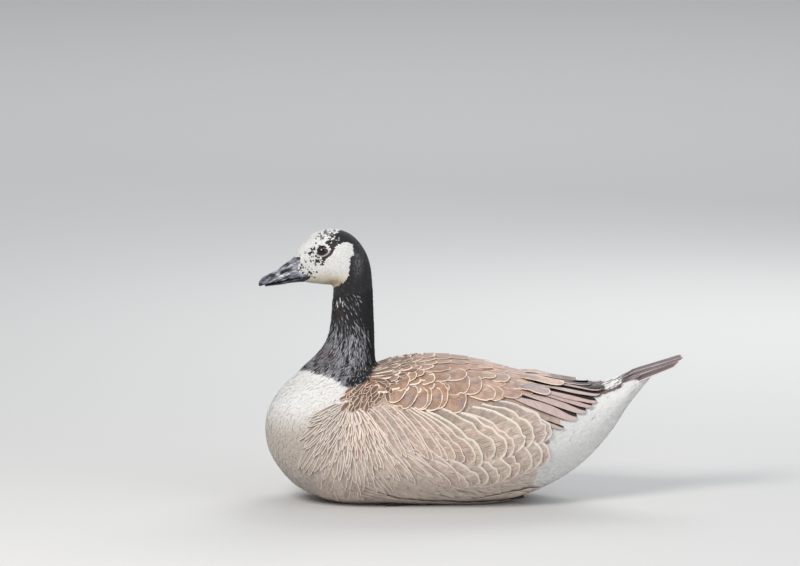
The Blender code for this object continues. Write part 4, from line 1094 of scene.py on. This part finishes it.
# the long feathers along the flank whose pale edges show as arcs, front to back
flankRow = [
    (392, 452, 58, 3.6, 60), (397, 453, 57, 3.8, 61), (402, 454, 56.5, 4.0, 62), (407.5, 454, 56, 4.3, 63),
    (413, 455, 55, 4.6, 64), (419, 455, 54, 5.0, 66), (425.5, 456, 52, 5.6, 68), (432, 457, 50, 6.2, 70),
    (439, 458, 49, 7.0, 72), (446.5, 458, 47, 8.0, 74), (456, 460, 48, 9.2, 74), (466, 461, 46, 11.5, 75),
    (477, 461, 43, 14, 75), (488, 459, 42, 15.5, 72), (499, 456, 42, 17, 68), (508, 454, 41, 17.5, 66),
    (517, 452, 41, 18, 64), (527.5, 449, 40, 19, 63), (538, 446, 40, 20, 62), (546, 439, 38, 16, 58),
]
# tiers of that row: how far down and back, and the tips' height in mm
flankLook = {"seeds": (41, 42), "tiers": ((54, 8, 1.6), (27, 3, 2.2), (0, 0, 3.0)), "root": -0.8,
             "narrow": 7, "shoulderUp": 5}
# the strands: how far each tier reaches from the shoulder, the angles it spans, spacing and half width
fan = {"reach": (26, 37, 49, 64, 80, 98), "from": 50, "to": 152, "pitch": 2.3, "half": 2.15, "longest": 42,
       "topLift": 2.3, "tierDrop": 0.30}


def flankTable(rng):
    rows = []
    for down, back, lift in flankLook["tiers"]:
        rows += [(u - back + rng.normal(0, 1.0), v + down * 0.9 + rng.normal(0, 1.6),
                  heading - 0.12 * down + rng.normal(0, 1.3), half, length, flankLook["root"], lift)
                 for u, v, heading, half, length in flankRow]
    return rows


def fanTable(rng):
    # strands that radiate from the shoulder, tier by tier
    rows, (shoulderU, shoulderV) = [], flow["shoulder"]
    for tier, reach in reversed(list(enumerate(fan["reach"]))):
        angle = fan["from"] + rng.random() * 3
        wide = fan["half"] * np.interp(reach, (26, 50, 104), (0.9, 1.15, 1.9))
        while angle < fan["to"] - max(0, reach - 50) * 0.85:
            far = reach * rng.uniform(0.9, 1.08) * np.interp(angle, (46, 70, 120, 152), (1.12, 1, 1, 0.9))
            heading = math.radians(angle)
            u = shoulderU + far * math.cos(heading)
            v = shoulderV - flankLook["shoulderUp"] + far * math.sin(heading)
            row = (u, v, angle + rng.normal(0, 2.5), wide * rng.uniform(0.85, 1.2))
            tip = fan["topLift"] - fan["tierDrop"] * tier + rng.normal(0, 0.1)
            rows.append((*row, min(far - 3, fan["longest"]), flankLook["root"], tip))
            angle += math.degrees(fan["pitch"] * wide / fan["half"] / reach) * rng.uniform(0.8, 1.2)
    return rows


def makeFlank(left):
    rng = np.random.default_rng(flankLook["seeds"][0 if left else 1])
    broad, strands = np.array(flankTable(rng)), np.array(fanTable(rng))
    name = "flankLeft" if left else "flankRight"
    groups, first = [], 0
    wide = broad[:, 3] > flankLook["narrow"]
    for table, shape in ((broad[wide], flankShape), (broad[~wide], fanShape)):
        feathers = feathersToTip(table, shape, rng, left)
        count = feathers["count"]
        feathers["vane"][..., 2] *= np.interp(table[:, 3], (3.6, 8, 14), (2.8, 1.7, 1.0))[:, None, None]
        inner = mix(tinted("flank", rng, count, 0.10), tones["flankLow"], ramp(table[:, 1], 460, 60, 0.6))
        outer = tinted("flankRim", rng, count, 0.06)
        groups.append((feathers, inner, outer, cellUv(feathers, first, len(broad))))
        first += count
    addFeathers(name, groups, flankFinish)
    feathers = feathersToTip(strands, fanShape, rng, left)
    count, heading = feathers["count"], strands[:, 2]
    near = np.hypot(strands[:, 0] - flow["shoulder"][0], strands[:, 1] - flow["shoulder"][1])
    brown = np.interp(near, (22, 44), (0.85, 0.1)) * np.interp(heading, (50, 70, 100, 118), (0.7, 1, 0.9, 0))
    brown = np.maximum(brown, 0.9 * blob(strands[:, 0:2], (391, 426), (7, 8)))
    pale = ramp(heading, 92, 35)
    inner = mix(mix(tinted("flank", rng, count, 0.12), tones["fan"], pale), tones["shoulder"], brown)
    inner = mix(inner, tones["flankLow"], ramp(near, 56, 25, 0.8))
    outer = mix(tinted("flankRim", rng, count, 0.08), tones["fanRim"], pale)
    addFeathers(name + "Fan", [(feathers, inner, outer, cellUv(feathers))], fanFinish)


mantleShape = {**strandShape, "width": (0.5, 0.82, 0.97, 1.0, 0.94, 0.80, 0.56, 0.2), "camber": 0.06}
mantleFinish = vaneFinish("mantleFeather", 0.0009, 0.3, 0.7)
mantleLook = {"rings": (torsoStart - 1, torsoStart + 14), "gap": 0.0052, "length": 0.0190, "half": 0.0035,
              "lift": (-0.0010, 0.0020), "seed": 24, "unevenSeed": 51}


def mantleZone(points, t):
    return inside(seen(points), marks["mantle"]).astype(float)


def mantleScale(points):
    # larger towards the wing and over the top of the back
    u, v = np.moveaxis(seen(points), -1, 0)
    return np.interp(u, (350, 386, 400), (0.88, 0.95, 1.1)) * np.interp(v, (352, 368, 378), (2.1, 1.7, 1.0))


def makeMantle(look):
    # small dark feathers with pale edges behind the neck
    rng = np.random.default_rng(look["unevenSeed"])
    t, a = spread(*look["rings"], lambda points: look["gap"] * mantleScale(points), look["seed"], mantleZone)
    points, normals, _, _ = skinFrame(t, a)
    u, v = np.moveaxis(seen(points), -1, 0)
    steep = np.interp(u, (346, 360, 374, 388), (124, 114, 104, 92))
    flat = np.interp(u, (372, 400), (34, 12))
    share = ramp(v, 374, 8) * ramp(u, 396, -12)
    way = headingAt(flat + (steep - flat) * share + rng.normal(0, 5, len(t)), normals)
    size = mantleScale(points) * rng.uniform(0.85, 1.15, len(t))
    length = look["length"] * np.minimum(size, 1.25)
    feathers = growFeathers(t, a, way, length, look["half"] * size, mantleShape, rng, *look["lift"])
    feathers["vane"][..., 2] *= np.interp(v, (356, 374), (0.55, 1.0))[:, None, None]
    share = ramp(u, 390, 30)
    tone = mix(tinted("mantle", rng, len(t), 0.25), tones["covert"], share)
    rim = mix(tinted("mantleRim", rng, len(t), 0.12), tones["covertRim"], share)
    addFeathers("mantleFeathers", [(feathers, tone, rim, cellUv(feathers))], mantleFinish)


# the fan of the tail: the line it follows on the side view by share, and its sizes by share
tailLook = {"share": (0.0, 0.25, 0.5, 1.0), "lineU": (616.0, 633.0, 649.0, 683.0),
            "lineV": (378.5, 368.2, 363.6, 353.8), "pairs": 8, "pitch": (0.0023, 0.0040),
            "half": (0.0055, 0.0085), "step": 0.00095, "arch": (0.017, 0.0060), "rounding": 0.12, "seed": 61,
            "rimHalf": 0.0075, "rimLong": 0.075}
tailShape = {"along": flightShape["along"], "across": flightShape["across"],
             "width": (0.9, 0.95, 0.98, 1.0, 1.0, 1.0, 0.98, 0.93, 0.82, 0.62, 0.3)}
tailFinish = vaneFinish("tailFeather", 0.0011, 0.3, 0.6, barbs=0.5, shaft=0.6)


def makeTail():
    # eight feathers a side, each laid a step under the one nearer the middle
    look, rng = tailLook, np.random.default_rng(tailLook["seed"])

    def lineAt(f):
        x, z = side(*(np.interp(f, look["share"], look[key]) for key in ("lineU", "lineV")))
        return np.array([x, 0, z])
    shares, across, widths = (np.array(tailShape[key]) for key in ("along", "across", "width"))
    groups, count = [], look["pairs"]
    for way in (-1, 1):
        top = np.zeros((count, len(shares), len(across), 3))
        low, face = top.copy(), top.copy()
        for pair in range(count):
            length = (1 - look["rounding"] * (pair / (count - 1)) ** 2) * rng.uniform(0.955, 1.0)
            for k, (f, share) in enumerate(zip(shares, widths)):
                pitch, half, arch = (np.interp(f, (0, 1), look[key]) for key in ("pitch", "half", "arch"))
                reach, middle = count * pitch + half, pitch * (pair + 0.5)
                root = lineAt(f * length)
                lie = unitOf(lineAt(min(f * length + 0.08, 1.0)) - lineAt(f * length - 0.08))
                up = np.array([-lie[2], 0, lie[0]])
                for j, s in enumerate(across):
                    out = max(middle + s * share * half, 0.0003)
                    drop = arch * (out / reach) ** 2 + look["step"] / pitch * (middle + half - out)
                    drop += look["step"] * 1.3 * max(s, 0.0) ** 3
                    point = root + np.array([0, way * out, 0]) - up * drop
                    point += up * rng.normal(0, 0.00006)
                    thick = 0.0006 * (1 - 0.8 * abs(s)) + 0.0001
                    top[pair, k, j], low[pair, k, j] = point, point - up * thick
                    face[pair, k, j] = unitOf(up + np.array([0, way * (out / reach * 0.5 + 0.1 * s), 0]))
        edge = np.minimum((1 - np.abs(across))[None] * widths[:, None] * look["rimHalf"],
                          (1 - shares)[:, None] * look["rimLong"])[None]
        vane = np.stack(np.broadcast_arrays(across[None, None], shares[None, :, None],
                                            np.repeat(edge, count, 0) * 100), -1)
        feathers = {"top": top, "low": low, "face": face, "vane": vane, "count": count, "rows": len(shares),
                    "columns": len(across), "flip": way > 0}
        tone, rim = tinted("tail", rng, count, 0.35), tinted("tailRim", rng, count, 0.1)
        rim *= np.where(np.arange(count) % 3 == 1, 1.5, 0.35)[:, None]
        groups.append((feathers, tone, rim, cellUv(feathers, count * (way > 0), 2 * count)))
    tail = addFeathers("tailFan", groups, tailFinish)
    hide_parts("tail")


makeMantle(mantleLook)
for left in (True, False):
    makeFlank(left)
    makeWing(left)
makeTail()


# long coverts over the tail's root, and white ones before them: tip u, tip v, heading, half width, length
tailCoverts = [(655, 368.5, -20, 4.2, 34), (650, 372.5, -22, 4.0, 32), (643, 376.5, -22, 3.6, 28),
               (648, 366.0, -18, 4.6, 30), (638, 369.5, -22, 4.4, 24), (633, 374.0, -22, 4.2, 22)]
whiteCoverts = [(621, 373.5, -16, 5.0, 22), (621.5, 376.5, -14, 5.0, 22), (620, 380.5, -10, 4.6, 22),
                (615.5, 384.5, -2, 4.4, 16), (610.5, 387.0, 6, 3.4, 12), (613, 376.5, -10, 5.0, 16),
                (611, 381.5, -6, 4.6, 14)]


def makeTailCoverts(left):
    rng = np.random.default_rng(71 if left else 72)
    name = "Left" if left else "Right"
    for part, table, colour, lift, finish in (("tailCoverts", tailCoverts, "tailRoot", 1.2, tailFinish),
                                              ("whiteCoverts", whiteCoverts, "vent", 0.9, bodyFinish)):
        rows = jitter([(*row, -1.4, lift) for row in table], rng, left, 0.5)
        feathers = feathersToTip(rows, plumeShape, rng, left)
        tone = tinted(colour, rng, feathers["count"], 0.03 if colour == "vent" else 0.12)
        rim = tone if colour == "vent" else tinted("tailRim", rng, feathers["count"])
        addFeathers(part + name, [(feathers, tone, rim, cellUv(feathers))], finish)


for left in (True, False):
    makeTailCoverts(left)
print("large feathers made")

# the bill: ridge and edge points and half width of each ring, from the face to the tip
upperBill = [
    ((293.1, 258.1), (300.7, 276.6), 11.4), ((288.5, 261.4), (295.5, 277.6), 10.7),
    ((283, 265.4), (289.5, 278.8), 10.1), ((277, 269.8), (282.5, 280.4), 9.4),
    ((271, 273.1), (275.5, 282), 8.6), ((266, 275.5), (269, 283.3), 7.9),
    ((262, 278.1), (264, 284.6), 6.7), ((259.6, 281), (261.3, 285.6), 4.9),
    ((258.5, 283.2), (259.6, 286), 2.6),
]
lowerBill = [
    ((300.9, 277.1), (302.7, 281.6), 9.9), ((296, 278.1), (297.2, 281.9), 9.7),
    ((289.5, 279.3), (290.2, 282.6), 9.2), ((282.5, 280.9), (282.8, 284), 8.5),
    ((275.5, 282.5), (275.7, 284.9), 7.6), ((269, 283.8), (269.2, 285.7), 6.4),
    ((265.2, 284.9), (265.3, 286.3), 4.6),
]
# spots on the bill: middle, size and strength, the pale ones, painted highlights on the ridges round the
# nostril, by their place from the nostril
billLook = {"fullness": 2.3, "nostril": (284.4, 271.2), "nostrilSlope": -0.42, "nailFrom": 268.5,
            "streaks": ((0.010, 0.010, 0.014), (0.24, 0.245, 0.285)), "rear": (0.20, 0.20, 0.24),
            "front": (0.020, 0.020, 0.030), "paintedHighlight": (0.50, 0.50, 0.55), "nail": (0.12, 0.12, 0.17),
            "black": (0.010, 0.010, 0.012),
            "pale": [((4.2, -2.1), (2.6, 0.6), 0.9), ((-2.5, 3.2), (3.4, 1.1), 0.7),
                     ((-9, 3.6), (5, 1.2), 0.5), ((3, 3.8), (4, 0.8), 0.35)],
            # dark spots: the nail's black tip, and painted shade in the corners at the face and at the gape
            "dark": [((259.7, 285), (2.4, 1.8), 0.95), ((298.4, 257.2), (4.2, 2.0), 1.1),
                     ((307.5, 278.5), (8.0, 2.6), 1.3)]}


def nostrilField(places):
    # how far back and how far below the nostril a place is, the slit's depth and the swelling round it
    gap = places - np.array(billLook["nostril"])
    c, s = math.cos(billLook["nostrilSlope"]), math.sin(billLook["nostrilSlope"])
    run, rise = gap[..., 0] * c + gap[..., 1] * s, -gap[..., 0] * s + gap[..., 1] * c
    slit = np.exp(-(run / 3.4) ** 4 - (rise / 1.15) ** 2)
    slit = slit + 0.45 * np.exp(-((run - 5.6) / 3) ** 4 - (rise / 0.4) ** 2)
    return run, rise, slit, np.exp(-(run / 5.5) ** 4 - (rise / 2.4) ** 2) - slit


def billTone(places):
    # slate with streaks along the bill, black painted into the nostril slit as the shade of its hole,
    # painted shade along the cut and in the corners, and pale spots of painted highlight
    u, v = places[..., 0], places[..., 1]
    run, rise, slit, _ = nostrilField(places)
    streak = 0.45 + 1.1 * ripple(np.stack([run * 0.22, rise], -1), 0.62, 12)
    colour = mix(*billLook["streaks"], streak)
    colour = mix(colour, billLook["rear"], 0.65 * ramp(u, 289, 5))
    colour = mix(colour, billLook["front"], 0.55 * ramp(u, 277, -7))
    # painted highlights: pale spots round the nostril
    colour = mix(colour, billLook["paintedHighlight"], spots(np.stack([run, rise], -1), billLook["pale"]))
    colour = mix(colour, billLook["nail"], 0.7 * blob(places, (265.5, 281.5), (3, 2)))
    # painted shade: black in the nostril slit for the depth of its hole, and in the corners
    dark = np.clip(slit * 3.4, 0, 1) + spots(places, billLook["dark"])
    # painted shade along the cut between the two halves of the bill
    cut = np.clip((v - (281.9 - (u - 275) * 0.12)) / 0.9, 0, 1) * (u < 306)
    return mix(colour, billLook["black"], dark + 0.8 * cut)


def makeBill(name, table, widest, rows, columns, shape, replaced):
    table = np.array([(*side(*back), *side(*front), half * unit, widest) for back, front, half in table])
    t, a = roundGrid(np.linspace(-0.25, len(table) - 1, rows), columns)
    points = ringAt(table, t, a, billLook["fullness"])
    around = np.roll(points, -1, 1) - np.roll(points, 1, 1)
    along = np.gradient(points, axis=0)
    normals = unitOf(np.cross(around, along))
    points = points + normals * shape(seen(points), a)[..., None]
    shares = np.clip(t, 0, None) / (len(table) - 1)
    bill = addTube(name, points, a, shares, billTone, hornFinish, tipOut=0.0006)
    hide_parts(replaced)


def upperForm(places, a):
    # nostril, the groove before the nail, and fine growth lines
    _, _, slit, ring = nostrilField(places)
    groove = np.exp(-((places[..., 0] - billLook["nailFrom"] + 0.25 * (places[..., 1] - 280)) / 0.6) ** 2)
    top = np.clip(np.cos(a) * 1.5, 0, 1)
    return 0.0005 * ring - 0.0014 * slit - 0.00025 * groove * top + 0.00008 * ripple(places, 1.4, 13)


def lowerForm(places, a):
    return 0.00008 * ripple(places, 1.4, 14)


def hornLook():
    n = Nodes("billHorn")
    fine = n.noise(900.0, 4.0)
    long = n.noise(1.0, 3.0, n.stretch(n.place(), (120.0, 500.0, 700.0)))
    grain = n.grey(n.span(long, 0.34, 0.68, 0.30, 0.95))
    colour = n.blend(1.0, n.attribute("tone"), grain, "OVERLAY")
    n.bump(n.plus(fine, long), 0.35, 0.0003)
    return n.finish(colour, 0.42, Specular_IOR_Level=0.27)


def makeHorn():
    # the horn that runs on from the bill over the front of the face
    rows, columns = 26, 160
    f, a = roundGrid(np.linspace(0, 1, rows), columns)
    tries = np.linspace(0, 5.5, 221)
    tt, aa = np.meshgrid(tries, a[0], indexing="ij")
    within = inside(seen(skinAt(tt, aa)), hornEdge)
    edge = tries[np.where(within.all(0), len(tries) - 1, np.argmin(within, axis=0))]
    edge = np.convolve(np.concatenate([edge[-3:], edge, edge[:3]]), np.ones(7) / 7, "valid")
    t = -0.35 + f * (edge[None] + 0.35)
    points, normals, _, _ = skinFrame(t, a)
    lift = np.interp(f, (0, 0.15, 0.8, 0.93, 1.0), (-0.0006, 0.0005, 0.0004, 0.0002, -0.0010))
    points = points + normals * lift[..., None]
    flat = points.reshape(-1, 3)
    faces = closedTube(rows, columns)[:-2 * columns]
    tone = withAlpha(billTone(seen(flat)))
    horn = addPiece("hornEdge", flat, faces, {"tone": tone}, roundMap(a, f), hornFinish)


def eyeFinish():
    # dark pupil, brown iris with fine rays, and a darker edge
    n = Nodes("eyeGloss")
    away, turn, _ = n.parts("gaze")
    rays = n.noise(1.0, 3.0, n.flat(n.times(turn, 28.0), n.times(away, 3.0)))
    iris = n.blend(n.span(rays, 0.3, 0.7), (0.012, 0.006, 0.005), (0.028, 0.012, 0.010))
    iris = n.blend(n.span(away, 0.62, 0.80), iris, (0.012, 0.007, 0.006))
    colour = n.blend(n.span(away, 0.36, 0.42), (0.003, 0.003, 0.004), iris)
    return n.finish(colour, 0.10, Coat_Weight=0.2, Coat_Roughness=0.03, Specular_IOR_Level=0.3)


# the lid: half length and height in m, its front corner and tilt, and its rings from the ball out to the
# feathers, each with its growth, its height over the ball or the face in m, and how pale it is
lidLook = {"long": 0.0061, "high": 0.0041, "corner": 0.0011, "tilt": 0.18, "columns": 96,
           "dark": (0.016, 0.012, 0.011), "pale": (0.66, 0.61, 0.58),
           "rings": ((0.84, -0.0003, 0.0), (0.90, 0.0004, 0.0), (0.97, 0.0008, 0.0), (1.03, 0.0009, 0.1),
                     (1.08, 0.0007, 1.0), (1.15, 0.0004, 1.0), (1.34, -0.0009, 0.9))}


def lidSkin():
    n = Nodes("lidSkin")
    grain = n.noise(2600.0, 3.0)
    n.bump(grain, 0.4, 0.0002)
    return n.finish(n.blend(n.span(grain, 0.3, 0.7, 0.0, 0.2), n.attribute("tone"), (0.1, 0.08, 0.08)), 0.5)


def levelSight(points):
    # place on the side view as it is seen from level with the point
    rise = (points[..., 2] - waterLine) * viewCos / unit
    return np.stack([points[..., 0] / unit + middleU, waterV - rise], -1)


def outward(points, faces, middle):
    # the triangles turned to look away from the middle
    a, b, c = (points[faces[:, i]] for i in range(3))
    inwards = np.sum(dotOf(np.cross(b - a, c - a), (a + b + c) / 3 - middle)) < 0
    return faces[:, ::-1] if inwards else faces


def makeEye(left):
    # the ball, and a lid from the ball's surface out to the feathers
    name, turnTo = ("Left", (1, 1, 1)) if left else ("Right", (1, -1, 1))
    t, a = faceFinder.at([eyeLook["at"]])
    point, normal, along, around = (part[0] for part in skinFrame(t, a))
    back = unitOf(np.array([1.0, 0, 0]) - normal * normal[0])
    rise = np.cross(back, normal) * (1 if np.cross(back, normal)[2] > 0 else -1)
    x, z = side(*eyeLook["at"])
    centre = np.array([x, point[1] + eyeLook["depth"], z])
    lat, lon = roundGrid(np.linspace(0, math.pi * eyeLook["down"], eyeLook["rings"]), eyeLook["columns"])
    ball = centre + eyeLook["radius"] * (np.cos(lat)[..., None] * normal + np.sin(lat)[..., None]
                                         * (np.cos(lon)[..., None] * back + np.sin(lon)[..., None] * rise))
    flat = np.concatenate([ball.reshape(-1, 3), [ball[0, 0], centre]]) * turnTo
    gaze = np.stack([np.sin(lat), lon / (2 * math.pi), lat * 0], -1).reshape(-1, 3)
    gaze = np.concatenate([gaze, np.zeros((2, 3))])
    faces = outward(flat, closedTube(*lat.shape), centre * turnTo)
    uv = 0.5 + 0.45 * np.stack([np.sin(lat) * np.cos(lon), np.sin(lat) * np.sin(lon)], -1).reshape(-1, 2)
    uv = np.concatenate([uv, [[0.5, 0.5], [0.5, 0.5]]])
    eye = addPiece("eyeball" + name, flat, faces, {"gaze": gaze}, uv, eyeGloss)
    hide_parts("eye_left" if left else "eye_right")

    columns, rings = lidLook["columns"], lidLook["rings"]
    turn = np.arange(columns) * 2 * math.pi / columns
    c, s = np.cos(turn), np.sin(turn)
    long = lidLook["long"] * c - lidLook["corner"] * np.clip(-c, 0, 1) ** 6
    high = lidLook["high"] * np.sign(s) * np.abs(s) ** 1.15 + lidLook["tilt"] * long
    lid = []
    for grow, over, _ in rings:
        p, q = long * grow, high * grow + 0.0012 * (grow - 1) * np.sign(s)
        onBall = np.sqrt(np.maximum(eyeLook["radius"] ** 2 - np.hypot(p, q) ** 2, 0)) - eyeLook["depth"]
        shift = p[:, None] * back + q[:, None] * rise
        place = moveOn(np.full(columns, t[0]), np.full(columns, a[0]), along, around, shift)
        ground = dotOf(skinAt(*place) - point, normal)
        blend = ramp(grow, 1.05, 0.4)
        level = np.maximum(np.maximum(onBall, ground) * (1 - blend) + ground * blend, onBall) + over
        lid.append(point + shift + level[:, None] * normal)
    flat = np.concatenate(lid) * turnTo
    paleness = np.repeat([ring[2] for ring in rings], columns)
    share = np.repeat(np.linspace(0, 1, len(rings))[:, None], columns, 1)
    faces = outward(flat, closedTube(len(rings), columns)[:-2 * columns], (centre - normal * 0.02) * turnTo)
    tone = withAlpha(mix(lidLook["dark"], lidLook["pale"], paleness))
    lids = addPiece("lids" + name, flat, faces, {"tone": tone}, roundMap(turn, share), lidFinish)


hornFinish = hornLook()
eyeGloss = eyeFinish()
lidFinish = lidSkin()
faceFinder = Finder(levelSight, 0.0, headEnd, lambda normals: normals[..., 1] < -0.05)
makeBill("upperBill", upperBill, 0.16, 150, 120, upperForm, "bill_upper")
makeBill("lowerBill", lowerBill, 0.80, 90, 80, lowerForm, "bill_lower")
makeHorn()
for left in (True, False):
    makeEye(left)
print("bill and eyes made")


def footSkin():
    n = Nodes("footSkin")
    cells = n.add("ShaderNodeTexVoronoi", feature="DISTANCE_TO_EDGE", Scale=650.0, Vector=n.place())
    gap = n.span(cells.outputs["Distance"], 0.0, 0.12)
    n.bump(gap, 0.5, 0.0004)
    return n.finish(n.blend(gap, (0.008, 0.008, 0.008), (0.035, 0.034, 0.036)), 0.5)


for name in ("leg_left", "leg_right"):
    for piece in [bpy.data.objects[name], *bpy.data.objects[name].children_recursive]:
        if piece.type == "MESH":
            piece.data.materials.clear()
            piece.data.materials.append(footSkin())


studio = {
    "floorHalf": 14.0, "floor": (0.58, 0.575, 0.565), "air": (0.80, 0.84, 0.90), "airStrength": 0.55,
    # lamps: place, what it points at, watts, size in m and colour
    "lamps": {"key": ((-1.1, -1.6, 1.7), (0, 0, 0.12), 46, 0.9, (1.0, 0.97, 0.92)),
              "fill": ((1.5, -1.4, 0.9), (0, 0, 0.12), 12, 1.4, (0.93, 0.96, 1.0)),
              "back": ((0.6, 1.6, 1.4), (0, 0, 0.15), 18, 1.2, (1, 1, 1)),
              "far": ((0, 3.8, 3.0), (0, 3.8, 0), 48, 2.6, (1, 1, 1))},
    # the picture is this many units wide at the bird's middle plane, round this place of the side view
    "pictureWide": 800, "pictureMiddle": (400, 283), "cameraAway": 10.0, "sensor": 36.0,
}


def placeAt(name, data, place, aim):
    # an object that looks from its place to its aim
    made = bpy.data.objects.new(name, data)
    made.location = place
    made.rotation_euler = (Vector(aim) - Vector(place)).to_track_quat("-Z", "Y").to_euler()
    bpy.context.scene.collection.objects.link(made)
    return made


def makeStage():
    bpy.ops.mesh.primitive_plane_add(size=studio["floorHalf"] * 2, location=(0, 0, -0.0002))
    floor = bpy.context.object
    floor.name = "floor"
    floor.data.materials.append(Nodes("paleFloor").finish((*studio["floor"], 1.0), 0.9))
    for name, (place, aim, power, size, colour) in studio["lamps"].items():
        data = bpy.data.lights.new(name, "AREA")
        data.energy, data.size, data.color = power, size, colour
        placeAt(name, data, place, aim)
    world = bpy.data.worlds.new("studio")
    world.use_nodes = True
    background = world.node_tree.nodes["Background"]
    background.inputs["Color"].default_value = (*studio["air"], 1.0)
    background.inputs["Strength"].default_value = studio["airStrength"]
    bpy.context.scene.world = world
    bpy.context.scene.view_settings.view_transform = "Standard"


def makeCamera():
    data = bpy.data.cameras.new("camera")
    data.sensor_width = studio["sensor"]
    data.lens = studio["sensor"] * studio["cameraAway"] / (studio["pictureWide"] * unit)
    x, z = side(*studio["pictureMiddle"])
    aim = Vector((x, 0, z))
    place = aim + Vector((0, -viewCos, viewSin)) * studio["cameraAway"]
    bpy.context.scene.camera = placeAt("camera", data, place, aim)


makeStage()
makeCamera()
print("stage ready")
